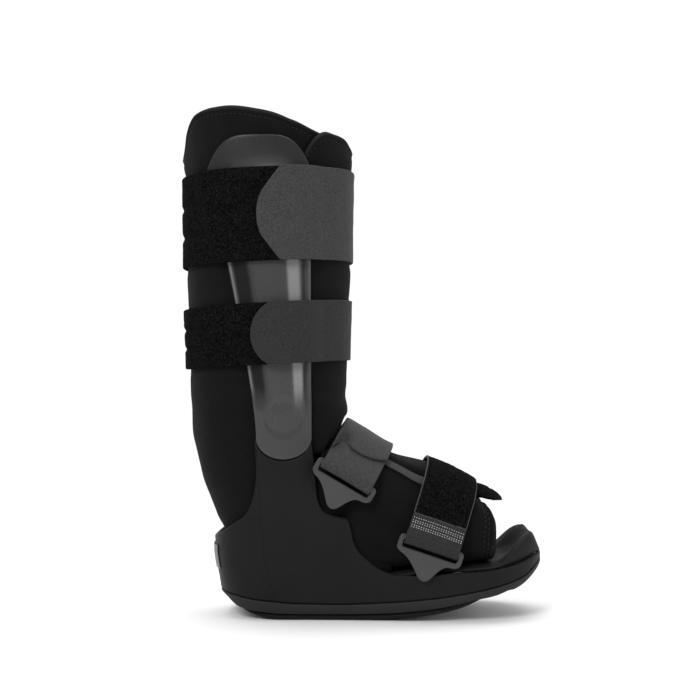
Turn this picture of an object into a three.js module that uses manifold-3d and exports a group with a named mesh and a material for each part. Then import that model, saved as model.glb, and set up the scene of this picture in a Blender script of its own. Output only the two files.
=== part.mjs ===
// Medical walking boot, right foot, in millimetres.
// +X points to the toes, -Y to the outer side of the leg, +Z up.
// The origin is on the floor, under the middle of the boot.

import * as THREE from 'three';
import { mergeVertices } from 'three/addons/utils/BufferGeometryUtils.js';
import Module from 'manifold-3d';

const wasm = await Module();
wasm.setup();

// Fit between pieces that touch
const CLEARANCE = 0.3;
const CLOTH_GAP = 0.9;
const NEST_GAP = 1.5;

// Sole and shell
const SOLE_LENGTH = 275;
const SOLE_WIDTH = 108;
const HEEL_X = -124;
const HEEL_ROUND = 38;
const TOE_ROUND = 62;
const HEEL_LEAN = 5.5;
const TOE_SPRING = 47;
const PARTING_HEIGHT = 50;
const TREAD_THICKNESS = 4.5;
const TREAD_INSET = 4;
const TREAD_GROOVE_WIDTH = 4;
const TREAD_GROOVE_DEPTH = 2.2;
const TREAD_GROOVE_PITCH = 15;
const SHELL_HEIGHT = 151;
const SHELL_WALL = 3.5;
const SHELL_FLOOR = 5;
const FOOTBED_HEIGHT = 52;
const TOE_LIP = 19;

// Uprights
const ANKLE_X = -63.5;
const UPRIGHT_WIDTH = 44;
const STRUT_TOP = 394;
const STRUT_TOP_WIDTH = 81;
const STRUT_TOP_CORNER = 27;
const SOCKET_DEPTH = 17;
const STRUT_RELIEF = 2;

// Calf sleeve
const SLEEVE_HEIGHT = 430;
const CALF_X = -80;
const CALF_DEPTH = 143.5;
const CALF_WIDTH = 115;
const SLEEVE_WALL = 8;
const SLEEVE_FLAP_CORNER = 29;
const SLEEVE_HEM = 146;
const SLEEVE_HEM_RISE = 19;

// Foot wrap
const FOOT_START_X = ANKLE_X + 6;
const FOOT_LENGTH = 167;
const FOOT_HEIGHT = 157;
const FOOT_WIDTH = 102;
const FOOT_WALL = 5;
const TONGUE_WIDTH = 50;
const TONGUE_THICKNESS = 7;
const TONGUE_REACH = 9;
const STRIP_THICKNESS = 1.2;
const STRIP_LENGTH = 82;

// Straps
const UPPER_STRAP_WIDTH = 75.5;
const UPPER_STRAP_HEIGHT = 330;
const LOWER_STRAP_WIDTH = 50;
const LOWER_STRAP_HEIGHT = 234;
const LOOP_BAND_THICKNESS = 3;
const TAB_THICKNESS = 2;
const FOOT_STRAP_WIDTH = 45;
const FOOT_STRAP_THICKNESS = 2;

// Strap loops
const LOOP_THICKNESS = 3;
const LOOP_SLOT_HEIGHT = 6;
const LOOP_BAR = 4;
const LOOP_SIDE = 4;
const LOOP_TAIL = 25;

// Heel label
const LABEL_WIDTH = 34;
const LABEL_HEIGHT = 20;
const LABEL_CENTRE_HEIGHT = 46.5;
const LABEL_THICKNESS = 1;

const COLOURS = {
  liner: 0x1b1b1c, fuzzy: 0x121212, tab: 0x3f3f40, strut: 0x4a4b4d, shell: 0x2a2a2c,
  sole: 0x29292b, tread: 0x121213, loop: 0x48484a, label: 0x8f8f90, footbed: 0x303032,
};

// Small numbers used everywhere

const TOE_X = HEEL_X + SOLE_LENGTH;
const clamp = THREE.MathUtils.clamp;
const mix = THREE.MathUtils.lerp;
const smooth = (value, low, high) => THREE.MathUtils.smoothstep(value, low, high);
const radians = THREE.MathUtils.degToRad;
const bent = (value, power) => Math.sign(value) * Math.abs(value) ** power;
const steps = (count) => Array.from({ length: count + 1 }, (_, index) => index / count);

// Smooth value of one column of a table at t, where each row says its place in the first column
function column(table, place, key, t) {
  const last = table.length - 1;
  if (t <= table[0][place]) return table[0][key];
  if (t >= table[last][place]) return table[last][key];
  let row = 0;
  while (t > table[row + 1][place]) row += 1;
  const slope = (index) => {
    if (index === 0 || index === last) return 0;
    const [low, here, high] = [table[index - 1], table[index], table[index + 1]];
    const before = (here[key] - low[key]) / (here[place] - low[place]);
    const after = (high[key] - here[key]) / (high[place] - here[place]);
    return before * after <= 0 ? 0 : (2 * before * after) / (before + after);
  };
  const from = table[row];
  const to = table[row + 1];
  const span = to[place] - from[place];
  const s = (t - from[place]) / span;
  const startSlope = row === 0 ? (to[key] - from[key]) / span : slope(row);
  const endSlope = row + 1 === last ? (to[key] - from[key]) / span : slope(row + 1);
  return from[key] * (1 + 2 * s) * (1 - s) ** 2 + startSlope * span * s * (1 - s) ** 2
    + to[key] * s * s * (3 - 2 * s) + endSlope * span * s * s * (s - 1);
}

// Closed bodies from points and triangles

function signedVolume(points, triangles) {
  let total = 0;
  for (const [a, b, c] of triangles) {
    total += points[a].dot(points[b].clone().cross(points[c]));
  }
  return total;
}

function bodyGeometry(points, triangles) {
  const outward = signedVolume(points, triangles) > 0;
  const ordered = outward ? triangles : triangles.map(([a, b, c]) => [a, c, b]);
  const geometry = new THREE.BufferGeometry();
  geometry.setAttribute('position', new THREE.Float32BufferAttribute(points.flatMap((p) => p.toArray()), 3));
  geometry.setIndex(ordered.flat());
  return geometry;
}

// A wall between two skins, each a grid of points over the shares u and v
function wallBody(uSteps, vSteps, outer, inner) {
  const points = [];
  const rows = vSteps.length;
  for (const skin of [outer, inner]) {
    for (const u of uSteps) {
      for (const v of vSteps) points.push(skin(u, v));
    }
  }
  const at = (skin, i, j) => skin * uSteps.length * rows + i * rows + j;
  const triangles = [];
  const quad = (a, b, c, d) => triangles.push([a, b, c], [a, c, d]);
  const lastU = uSteps.length - 1;
  const lastV = rows - 1;
  for (let i = 0; i < lastU; i += 1) {
    for (let j = 0; j < lastV; j += 1) {
      quad(at(0, i, j), at(0, i + 1, j), at(0, i + 1, j + 1), at(0, i, j + 1));
      quad(at(1, i, j), at(1, i, j + 1), at(1, i + 1, j + 1), at(1, i + 1, j));
    }
    quad(at(0, i, 0), at(1, i, 0), at(1, i + 1, 0), at(0, i + 1, 0));
    quad(at(0, i, lastV), at(0, i + 1, lastV), at(1, i + 1, lastV), at(1, i, lastV));
  }
  for (let j = 0; j < lastV; j += 1) {
    quad(at(0, 0, j), at(0, 0, j + 1), at(1, 0, j + 1), at(1, 0, j));
    quad(at(0, lastU, j), at(1, lastU, j), at(1, lastU, j + 1), at(0, lastU, j + 1));
  }
  return bodyGeometry(points, triangles);
}

const RING_POINTS = 48;

// A body through stacked rings, each as many points round the Z axis, mirrored about Y = 0
function ringBody(rings) {
  const count = rings[0].length;
  const half = count / 2;
  const triangles = [];
  for (let level = 0; level < rings.length - 1; level += 1) {
    for (let j = 0; j < count; j += 1) {
      const next = (j + 1) % count;
      const low = level * count;
      const high = low + count;
      triangles.push([low + j, low + next, high + next], [low + j, high + next, high + j]);
    }
  }
  const cap = (start, flip) => {
    for (let j = 0; j < half; j += 1) {
      const a = start + j;
      const b = start + j + 1;
      const c = start + count - j - 1;
      const d = start + ((count - j) % count);
      const found = [];
      if (b !== c) found.push([a, b, c]);
      if (a !== d) found.push(b === c ? [a, b, d] : [a, c, d]);
      for (const [p, q, r] of found) triangles.push(flip ? [p, r, q] : [p, q, r]);
    }
  };
  cap(0, true);
  cap((rings.length - 1) * count, false);
  return bodyGeometry(rings.flat(), triangles);
}

// A strap of one thickness along a path; line(v) is its middle line at share v of its width
function strapBody(line, across, thickness, widthSteps) {
  const lines = widthSteps.map((v) => line(v));
  const normals = lines.map((points) => points.map((point, index) => {
    const before = points[Math.max(index - 1, 0)];
    const after = points[Math.min(index + 1, points.length - 1)];
    return after.clone().sub(before).cross(across).normalize();
  }));
  const count = lines[0].length - 1;
  const skin = (side) => (u, v) => {
    const lane = widthSteps.indexOf(v);
    const index = Math.round(u * count);
    return lines[lane][index].clone().addScaledVector(normals[lane][index], (side * thickness) / 2);
  };
  return wallBody(steps(count), widthSteps, skin(1), skin(-1));
}

// Joining and cutting

function toSolid(geometry) {
  const bare = new THREE.BufferGeometry();
  bare.setAttribute('position', geometry.getAttribute('position'));
  bare.setIndex(geometry.getIndex());
  const merged = mergeVertices(bare, 1e-4);
  return new wasm.Manifold(new wasm.Mesh({
    numProp: 3,
    vertProperties: new Float32Array(merged.getAttribute('position').array),
    triVerts: new Uint32Array(merged.getIndex().array),
  }));
}

function toGeometry(solid) {
  const mesh = solid.getMesh();
  const geometry = new THREE.BufferGeometry();
  geometry.setAttribute('position', new THREE.Float32BufferAttribute(mesh.vertProperties, 3));
  geometry.setIndex(Array.from(mesh.triVerts));
  return geometry;
}

// A block through the whole width, from its outline seen from the side as [x, z] pairs
function sideBlock(outline, width) {
  const shape = new THREE.Shape(outline.map(([x, z]) => new THREE.Vector2(x, z)));
  const geometry = new THREE.ExtrudeGeometry(shape, { depth: width, bevelEnabled: false });
  geometry.rotateX(Math.PI / 2);
  geometry.translate(0, width / 2, 0);
  return toSolid(geometry);
}

// Sole outline, and the lines that run along it

const SOLE_SECTIONS = [
  { at: 0, half: 0.8, rocker: 0.44, parting: 0.45 },
  { at: 0.04, half: 0.8, rocker: 0.34, parting: 0.425 },
  { at: 0.08, half: 0.8, rocker: 0.18, parting: 0.39 },
  { at: 0.13, half: 0.8, rocker: 0.07, parting: 0.345 },
  { at: 0.19, half: 0.8, rocker: 0.014, parting: 0.31 },
  { at: 0.25, half: 0.8, rocker: 0, parting: 0.28 },
  { at: 0.38, half: 0.81, rocker: 0, parting: 0.27 },
  { at: 0.5, half: 0.86, rocker: 0.02, parting: 0.3 },
  { at: 0.62, half: 0.94, rocker: 0.085, parting: 0.36 },
  { at: 0.74, half: 1, rocker: 0.22, parting: 0.46 },
  { at: 0.84, half: 0.99, rocker: 0.41, parting: 0.57 },
  { at: 0.93, half: 0.95, rocker: 0.62, parting: 0.71 },
  { at: 1, half: 0.9, rocker: 0.92, parting: 0.98 },
];

const soleShare = (x) => (x - HEEL_X) / SOLE_LENGTH;
const rockerZ = (x) => TOE_SPRING * column(SOLE_SECTIONS, 'at', 'rocker', soleShare(x));
const partingZ = (x) => PARTING_HEIGHT * column(SOLE_SECTIONS, 'at', 'parting', soleShare(x));
const soleHalf = (x) => (SOLE_WIDTH / 2) * column(SOLE_SECTIONS, 'at', 'half', soleShare(x));
const heelBack = (z) => HEEL_X + HEEL_LEAN * (1 - smooth(z, 0.1 * SHELL_HEIGHT, 0.38 * SHELL_HEIGHT));

// Share of the full width that is left where the heel and the toe round off
function endRound(x, back, front) {
  const heel = clamp(1 - (x - back) / HEEL_ROUND, 0, 1);
  const toe = clamp(1 - (front - x) / TOE_ROUND, 0, 1);
  return (1 - heel ** 2.2) ** (1 / 2.2) * (1 - toe ** 2.3) ** (1 / 2.3);
}

// Leg outline at a height: the sleeve's outer face, and all that follows it

const LEG_SECTIONS = [
  { up: 0.08, back: -0.225, front: 1.3, half: 0.4 },
  { up: 0.17, back: -0.245, front: 1.1, half: 0.425 },
  { up: 0.2, back: -0.293, front: 0.84, half: 0.435 },
  { up: 0.263, back: -0.364, front: 0.59, half: 0.442 },
  { up: 0.316, back: -0.408, front: 0.478, half: 0.446 },
  { up: 0.358, back: -0.429, front: 0.466, half: 0.449 },
  { up: 0.477, back: -0.449, front: 0.471, half: 0.474 },
  { up: 0.67, back: -0.466, front: 0.486, half: 0.491 },
  { up: 0.84, back: -0.471, front: 0.493, half: 0.498 },
  { up: 0.885, back: -0.492, front: 0.499, half: 0.5 },
  { up: 1, back: -0.499, front: 0.501, half: 0.5 },
];
const LEG_SQUARENESS = 2.3;

function legOutline(z) {
  const share = z / SLEEVE_HEIGHT;
  const back = CALF_X + CALF_DEPTH * column(LEG_SECTIONS, 'up', 'back', share);
  const front = CALF_X + CALF_DEPTH * column(LEG_SECTIONS, 'up', 'front', share);
  const half = CALF_WIDTH * column(LEG_SECTIONS, 'up', 'half', share);
  return { middle: (back + front) / 2, depth: (front - back) / 2, half };
}

// Point of the leg outline at an angle, off it by some distance; 0 is the front and 90 the outer side
function legPoint(angle, z, off) {
  const { middle, depth, half } = legOutline(z);
  const power = 2 / LEG_SQUARENESS;
  const x = middle + (depth + off) * bent(Math.cos(radians(angle)), power);
  const y = -(half + off) * bent(Math.sin(radians(angle)), power);
  return new THREE.Vector3(x, y, z);
}

// Half width of the leg outline at x
function legHalf(x, z, off) {
  const { middle, depth, half } = legOutline(z);
  const share = clamp(Math.abs(x - middle) / (depth + off), 0, 1);
  return (half + off) * (1 - share ** LEG_SQUARENESS) ** (1 / LEG_SQUARENESS);
}

// Shell: half width of its outer face, and the same face less a wall

const UPRIGHT_BACK = ANKLE_X - UPRIGHT_WIDTH / 2;
const UPRIGHT_FRONT = ANKLE_X + UPRIGHT_WIDTH / 2;
const LEDGE_X = UPRIGHT_FRONT + 0.15 * (TOE_X - UPRIGHT_FRONT);
const INSTEP_END_X = UPRIGHT_FRONT + 0.33 * (TOE_X - UPRIGHT_FRONT);

function shellHalf(x, z, wall) {
  const legX = clamp(x, UPRIGHT_BACK, LEDGE_X);
  const upper = legHalf(legX, Math.max(z, 0.55 * SHELL_HEIGHT), CLEARANCE + SHELL_WALL);
  const rise = smooth(z, 0.12 * SHELL_HEIGHT, 0.62 * SHELL_HEIGHT);
  const back = heelBack(z) + wall;
  return Math.max((mix(soleHalf(x), upper, rise) - wall) * endRound(x, back, TOE_X - wall), 0);
}

// Ring of the shell's outline at share-of-ring points, at a height given by x
function shellRing(count, heightAt, wall) {
  return Array.from({ length: count }, (_, index) => {
    const angle = (2 * Math.PI * index) / count;
    const guess = mix(HEEL_X, TOE_X, (1 + Math.cos(angle)) / 2);
    const z = heightAt(guess);
    const back = heelBack(z) + wall;
    const front = TOE_X - wall;
    const x = mix(back, front, (1 + Math.cos(angle)) / 2);
    return new THREE.Vector3(x, -Math.sign(Math.sin(angle)) * shellHalf(x, z, wall), z);
  });
}

// Rim of the shell seen from the side, from the heel up the upright and on to the toes

const RIM_BEHIND = [
  { on: 0, up: 0.41 }, { on: 0.4, up: 0.49 }, { on: 0.55, up: 0.52 }, { on: 0.74, up: 0.56 },
  { on: 0.88, up: 0.63 }, { on: 0.96, up: 0.71 }, { on: 1, up: 0.81 }, { on: 0.99, up: 0.9 },
  { on: 0.97, up: 0.985 },
];
const RIM_AHEAD = [
  { on: 0, up: 0.985 }, { on: 0.011, up: 0.9 }, { on: 0.019, up: 0.8 }, { on: 0.027, up: 0.69 },
  { on: 0.042, up: 0.625 }, { on: 0.075, up: 0.586 }, { on: 0.115, up: 0.57 }, { on: 0.15, up: 0.56 },
  { on: 0.166, up: 0.517 }, { on: 0.178, up: 0.444 }, { on: 0.198, up: 0.384 }, { on: 0.235, up: 0.338 },
  { on: 0.277, up: 0.294 }, { on: 0.32, up: 0.268 }, { on: 0.373, up: 0.252 }, { on: 0.45, up: 0.252 },
  { on: 0.535, up: 0.262 }, { on: 0.754, up: 0.283 }, { on: 0.875, up: 0.307 }, { on: 0.974, up: 0.346 },
  { on: 1.03, up: 0.36 },
];

const rimBehind = RIM_BEHIND.map((row) => [mix(HEEL_X - 1, UPRIGHT_BACK, row.on), row.up * SHELL_HEIGHT]);
const rimAhead = RIM_AHEAD.map((row) => [mix(UPRIGHT_FRONT, TOE_X, row.on), row.up * SHELL_HEIGHT]);
const aheadShare = (x) => (x - UPRIGHT_FRONT) / (TOE_X - UPRIGHT_FRONT);
const rimZ = (x) => SHELL_HEIGHT * column(RIM_AHEAD, 'on', 'up', aheadShare(x));

// Rim height over the heel and at the upright
function heelRimZ(x) {
  const share = (x - HEEL_X) / (UPRIGHT_BACK - HEEL_X);
  if (share < 0) return 0;
  return share > 1 ? SHELL_HEIGHT : SHELL_HEIGHT * column(RIM_BEHIND.slice(0, 7), 'on', 'up', share);
}

// The round socket at the top of an upright, as a height at x
function socketZ(x) {
  const share = clamp((x - ANKLE_X) / (UPRIGHT_WIDTH / 2), -1, 1);
  return 0.985 * SHELL_HEIGHT - SOCKET_DEPTH * Math.sqrt(1 - share * share);
}

// Floor of the tray: low under the heel, level with the rim under the toes
const TRAY_END = 0.66;
const TRAY_SLOPE_START = 0.46;
const TRAY_SLOPE_ROOM = 1.6;
function trayFloor(x) {
  const share = soleShare(x);
  return mix(partingZ(x) + SHELL_FLOOR, rimZ(x), smooth(share, TRAY_SLOPE_START, TRAY_END));
}

const stations = (from, to, count) => steps(count).map((share) => mix(from, to, share));

function makeShell() {
  const levels = [0.1, 0.2, 0.3, 0.4, 0.5, 0.6, 0.72, 0.86, 1.02];
  const outerRings = [shellRing(RING_POINTS, partingZ, 0)];
  const innerRings = [];
  for (const level of levels) {
    const height = level * SHELL_HEIGHT;
    outerRings.push(shellRing(RING_POINTS, (x) => Math.max(height, partingZ(x) + 1 + level), 0));
    innerRings.push(shellRing(RING_POINTS, () => height, SHELL_WALL));
  }
  const socketX = STRUT_RELIEFS.slice(1, -1).map((row) => mix(UPRIGHT_BACK, UPRIGHT_FRONT, row.across));
  const socket = socketX.map((x) => [x, socketZ(x)]);
  const outline = [
    ...rimBehind, ...socket, ...rimAhead,
    [TOE_X + 5, 0], [HEEL_X - 1, 0],
  ];
  const trayX = stations(HEEL_X - 1, HEEL_X + TRAY_END * SOLE_LENGTH, 24);
  const above = [[trayX[24], SHELL_HEIGHT * 1.1], [HEEL_X - 1, SHELL_HEIGHT * 1.1]];
  const hollow = toSolid(ringBody(innerRings)).intersect(sideBlock(
    [...trayX.map((x) => [x, trayFloor(x)]), ...above],
    2 * SOLE_WIDTH,
  ));
  const body = toSolid(ringBody(outerRings)).intersect(sideBlock(outline, 2 * SOLE_WIDTH));
  return toGeometry(body.subtract(hollow));
}

// Outsole and tread

const TREAD_START = 0.06;
const TREAD_END = 0.86;
function treadTop(x) {
  const share = soleShare(x);
  const full = smooth(share, TREAD_START, TREAD_START + 0.1)
    * (1 - smooth(share, TREAD_END - 0.1, TREAD_END));
  return rockerZ(x) + mix(0.25, 1, full) * TREAD_THICKNESS;
}

function outsoleBottom(x) {
  const share = soleShare(x);
  const over = smooth(share, TREAD_START - 0.06, TREAD_START - 0.025)
    * (1 - smooth(share, TREAD_END + 0.02, TREAD_END + 0.05));
  return mix(rockerZ(x), treadTop(x) + 2 * CLEARANCE, over);
}

// Ring of the sole outline, drawn in by some distance
function soleRing(count, from, to, inset, heightAt) {
  return Array.from({ length: count }, (_, index) => {
    const angle = (2 * Math.PI * index) / count;
    const x = mix(from, to, (1 + Math.cos(angle)) / 2);
    const half = (soleHalf(x) - inset) * endRound(x, from, to);
    return new THREE.Vector3(x, -Math.sign(Math.sin(angle)) * half, heightAt(x));
  });
}

function makeOutsole() {
  const back = heelBack(0);
  const edge = 3;
  const top = (x) => partingZ(x) - 2 * CLEARANCE;
  const low = (x) => Math.min(outsoleBottom(x), top(x) - 1.2);
  const between = (share) => (x) => mix(low(x), top(x), share);
  return ringBody([
    soleRing(RING_POINTS, back + edge, TOE_X - edge, edge, low),
    soleRing(RING_POINTS, back, TOE_X, 0, between(0.3)),
    soleRing(RING_POINTS, back, TOE_X, -0.6, between(0.75)),
    soleRing(RING_POINTS, back, TOE_X, -0.6, top),
  ]);
}

function makeTread() {
  const from = HEEL_X + TREAD_START * SOLE_LENGTH;
  const to = HEEL_X + TREAD_END * SOLE_LENGTH;
  const slab = ringBody([
    soleRing(RING_POINTS, from, to, TREAD_INSET, rockerZ),
    soleRing(RING_POINTS, from, to, TREAD_INSET, treadTop),
  ]);
  let solid = toSolid(slab);
  const first = from + 1.2 * TREAD_GROOVE_PITCH;
  for (let x = first; x < to - TREAD_GROOVE_PITCH; x += TREAD_GROOVE_PITCH) {
    const groove = new THREE.BoxGeometry(TREAD_GROOVE_WIDTH, 2 * SOLE_WIDTH, 2 * TREAD_GROOVE_DEPTH);
    groove.translate(x, 0, rockerZ(x));
    solid = solid.subtract(toSolid(groove));
  }
  return toGeometry(solid);
}

// Footbed: lies in the tray, spreads over the rim under the forefoot and turns up at the toes

const FOOTBED_SECTIONS = [
  { at: 0, up: 0.68 }, { at: 0.3, up: 0.7 }, { at: 0.5, up: 0.73 }, { at: 0.66, up: 0.83 },
  { at: 0.82, up: 0.88 }, { at: 0.93, up: 0.96 }, { at: 1, up: 1.06 },
];
const footbedTop = (x) => FOOTBED_HEIGHT * column(FOOTBED_SECTIONS, 'at', 'up', soleShare(x));
const SPREAD_START = 0.69;
const SPREAD_END = 0.77;

function makeFootbed() {
  const back = HEEL_X + SHELL_WALL + HEEL_LEAN + CLEARANCE;
  const front = TOE_X - 0.8;
  const onSlope = (share) => smooth(share, TRAY_SLOPE_START - 0.07, TRAY_SLOPE_START)
    - smooth(share, TRAY_END, TRAY_END + 0.07);
  const bottom = (x) => trayFloor(x) + CLEARANCE + TRAY_SLOPE_ROOM * onSlope(soleShare(x));
  const lift = (x) => TOE_LIP * smooth(soleShare(x), 0.84, 0.98);
  const layers = [
    { inset: 2.5, up: 0, lip: 0 }, { inset: 0, up: 0.35, lip: 0.35 }, { inset: 0.5, up: 0.75, lip: 0.8 },
    { inset: 4, up: 1, lip: 1 }, { inset: 9, up: 1, lip: 0.9 }, { inset: 17, up: 0.98, lip: 0.35 },
    { inset: 24, up: 0.97, lip: 0.06 },
  ];
  return ringBody(layers.map((layer) => Array.from({ length: RING_POINTS }, (_, index) => {
    const angle = (2 * Math.PI * index) / RING_POINTS;
    const x = mix(back + layer.inset, front - layer.inset, (1 + Math.cos(angle)) / 2);
    const low = bottom(x);
    const spread = smooth(soleShare(x), SPREAD_START, SPREAD_END);
    const inside = Math.min(soleHalf(x), shellHalf(x, low, 0)) - SHELL_WALL - CLEARANCE - 0.5;
    const wide = mix(inside, soleHalf(x) - 0.8, spread) - layer.inset;
    const half = wide * endRound(x, back + layer.inset, front - layer.inset);
    const z = mix(low, footbedTop(x), layer.up) + layer.lip * lift(x);
    return new THREE.Vector3(x, -Math.sign(Math.sin(angle)) * half, z);
  })));
}

// Uprights along the calf

const STRUT_EDGES = [
  { up: 0.3, back: 0 }, { up: 0.375, back: 0 }, { up: 0.525, back: 0.085 },
  { up: 0.655, back: 0.203 }, { up: 0.735, back: 0.282 }, { up: 0.86, back: 0.448 },
  { up: 0.93, back: 0.488 }, { up: 1, back: 0.488 },
];
const STRUT_RELIEFS = [
  { across: 0, sink: 1 }, { across: 0.14, sink: 0.6 }, { across: 0.27, sink: 0.05 },
  { across: 0.31, sink: 0.35 }, { across: 0.5, sink: 0.3 }, { across: 0.66, sink: 0.35 },
  { across: 0.71, sink: 0 }, { across: 0.87, sink: 0 }, { across: 0.89, sink: 0.8 },
  { across: 0.93, sink: 0.8 }, { across: 0.945, sink: 0.2 }, { across: 1, sink: 0.4 },
];

const strutBack = (z) => UPRIGHT_BACK - STRUT_TOP_WIDTH * column(STRUT_EDGES, 'up', 'back', z / STRUT_TOP);

function strutPoint(u, v, side, off, relief) {
  const shareX = 2 * u - 1;
  const low = socketZ(ANKLE_X + (shareX * UPRIGHT_WIDTH) / 2) + 2 * CLEARANCE;
  const high = STRUT_TOP - STRUT_TOP_CORNER * shareX ** 4;
  const z = mix(low, high, v);
  const x = mix(strutBack(z), UPRIGHT_FRONT, u);
  const fade = smooth(v, 0.13, 0.2) * (1 - smooth(v, 0.86, 0.94));
  const sunk = STRUT_RELIEF * relief * fade * column(STRUT_RELIEFS, 'across', 'sink', u);
  return new THREE.Vector3(x, -side * (legHalf(x, z, off) - sunk), z);
}

function makeStrut(side) {
  const across = STRUT_RELIEFS.map((row) => row.across);
  const up = [0, 0.07, 0.13, 0.2, 0.36, 0.52, 0.68, 0.82, 0.9, 0.95, 1];
  return wallBody(
    across,
    up,
    (u, v) => strutPoint(u, v, side, CLEARANCE + SHELL_WALL, 1),
    (u, v) => strutPoint(u, v, side, CLOTH_GAP, 0),
  );
}

// Calf sleeve: one padded wall that runs round the leg and tucks its end under its own flap

const SLEEVE_RIM = [
  { on: 0, up: 0.895 }, { on: 0.02, up: 0.915 }, { on: 0.04, up: 0.95 }, { on: 0.1, up: 0.984 },
  { on: 0.19, up: 0.9955 }, { on: 0.31, up: 1 }, { on: 0.485, up: 0.993 }, { on: 0.69, up: 0.977 },
  { on: 0.82, up: 0.958 }, { on: 0.875, up: 0.949 }, { on: 0.958, up: 0.937 }, { on: 1, up: 0.912 },
];
const SLEEVE_FLAP_ANGLE = 65;
const SLEEVE_TUCK_ANGLE = 38;
const SLEEVE_CORNER_ANGLE = 22;
const SLEEVE_RIM_LEVEL = 0.93;
const SLEEVE_TURN = 360 + SLEEVE_FLAP_ANGLE - SLEEVE_TUCK_ANGLE;
const SLEEVE_BOTTOM = 0.7 * FOOTBED_HEIGHT + 1.5;

function sleevePoint(u, v, depth) {
  const angle = SLEEVE_FLAP_ANGLE - u * SLEEVE_TURN;
  const top = legPoint(angle, SLEEVE_RIM_LEVEL * SLEEVE_HEIGHT, 0);
  const { middle, depth: half } = legOutline(SLEEVE_RIM_LEVEL * SLEEVE_HEIGHT);
  const rim = SLEEVE_HEIGHT * column(SLEEVE_RIM, 'on', 'up', (top.x - middle + half) / (2 * half));
  const corner = clamp(1 - (u * SLEEVE_TURN) / SLEEVE_CORNER_ANGLE, 0, 1);
  const high = rim - SLEEVE_FLAP_CORNER * corner * corner;
  const z = mix(SLEEVE_BOTTOM, high, v);
  const tucked = smooth(-angle, 268, 288);
  const off = -depth - tucked * (SLEEVE_WALL + CLEARANCE);
  const point = legPoint(angle, z, off);
  if (z < heelRimZ(point.x) + NEST_GAP) {
    const limit = Math.max(shellHalf(point.x, z, SHELL_WALL) - NEST_GAP - depth, NEST_GAP);
    point.y = clamp(point.y, -limit, limit);
  }
  return point;
}

// Where the sleeve stops and the foot wrap begins, as a height at x
const HEM_FRONT = CALF_X + 0.46 * CALF_DEPTH;
const hemZ = (x) => SLEEVE_HEM + SLEEVE_HEM_RISE * smooth(x, HEM_FRONT - 16, HEM_FRONT - 2);

function makeSleeve() {
  const around = steps(42);
  const up = [0, 0.04, 0.1, 0.17, 0.24, 0.29, 0.36, 0.5, 0.66, 0.825, 0.875, 0.94, 1];
  const wall = wallBody(
    around,
    up,
    (u, v) => sleevePoint(u, v, 0),
    (u, v) => sleevePoint(u, v, SLEEVE_WALL),
  );
  const hem = stations(FOOT_START_X, HEM_FRONT + 20, 14).map((x) => [x, hemZ(x)]);
  const footSpace = sideBlock(
    [[FOOT_START_X, 0], ...hem, [HEM_FRONT + CALF_DEPTH, hemZ(HEM_FRONT)], [HEM_FRONT + CALF_DEPTH, 0]],
    2 * SOLE_WIDTH,
  );
  return toGeometry(toSolid(wall).subtract(footSpace));
}

// Foot wrap: sections along the foot, 0 degrees on the ridge and 90 at the outer side

const FOOT_SECTIONS = [
  { on: 0, ridge: 0.905, half: 0.495, top: 0.4 },
  { on: 0.15, ridge: 0.905, half: 0.495, top: 0.42 },
  { on: 0.21, ridge: 0.93, half: 0.495, top: 0.55 },
  { on: 0.265, ridge: 0.995, half: 0.495, top: 0.75 },
  { on: 0.34, ridge: 0.955, half: 0.49, top: 0.85 },
  { on: 0.5, ridge: 0.856, half: 0.485, top: 0.88 },
  { on: 0.67, ridge: 0.81, half: 0.48, top: 0.88 },
  { on: 0.8, ridge: 0.757, half: 0.475, top: 0.86 },
  { on: 0.93, ridge: 0.676, half: 0.46, top: 0.82 },
  { on: 1, ridge: 0.62, half: 0.45, top: 0.8 },
];
const FOOT_SOLE_POWER = 0.5;

function footPoint(x, angle, off) {
  const share = (x - FOOT_START_X) / FOOT_LENGTH;
  const ridge = FOOT_HEIGHT * column(FOOT_SECTIONS, 'on', 'ridge', share);
  const low = footbedTop(x) + CLEARANCE + 0.7;
  const middle = (ridge + low) / 2;
  const height = (ridge - low) / 2;
  const half = FOOT_WIDTH * column(FOOT_SECTIONS, 'on', 'half', share);
  const cosine = Math.cos(radians(angle));
  const power = cosine > 0 ? column(FOOT_SECTIONS, 'on', 'top', share) : FOOT_SOLE_POWER;
  const z = middle + (height + off) * bent(cosine, power);
  let y = -(half + off) * bent(Math.sin(radians(angle)), power);
  if (x < LEDGE_X || (x < INSTEP_END_X && z < 0.6 * SHELL_HEIGHT)) {
    const limit = Math.max(shellHalf(x, z, SHELL_WALL) - NEST_GAP + off, 1);
    y = clamp(y, -limit, limit);
  }
  return new THREE.Vector3(x, y, z);
}

// Angle of the outer flap's edge at x
const FLAP_EDGES = [
  { on: 0, angle: 12 }, { on: 0.3, angle: 24 }, { on: 0.5, angle: 33 }, { on: 0.64, angle: 46 },
  { on: 0.8, angle: 50 }, { on: 1, angle: 50 },
];
const flapEdge = (x) => column(FLAP_EDGES, 'on', 'angle', (x - FOOT_START_X) / FOOT_LENGTH);

// How far each part of the section runs to the toes, by its angle from the ridge
const TOE_EDGES = [
  { angle: 0, on: 0.865 }, { angle: 36, on: 0.875 }, { angle: 50, on: 0.945 }, { angle: 62, on: 0.98 },
  { angle: 78, on: 0.998 }, { angle: 90, on: 1 }, { angle: 180, on: 0.99 },
];
const FLAP_OVERLAP = 26;

// Over the leg the wrap is open: its roof starts ahead of the shin
const ROOF_START_X = UPRIGHT_FRONT + 20;
const ROOF_EDGE = { from: 44, to: 66 };

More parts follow.
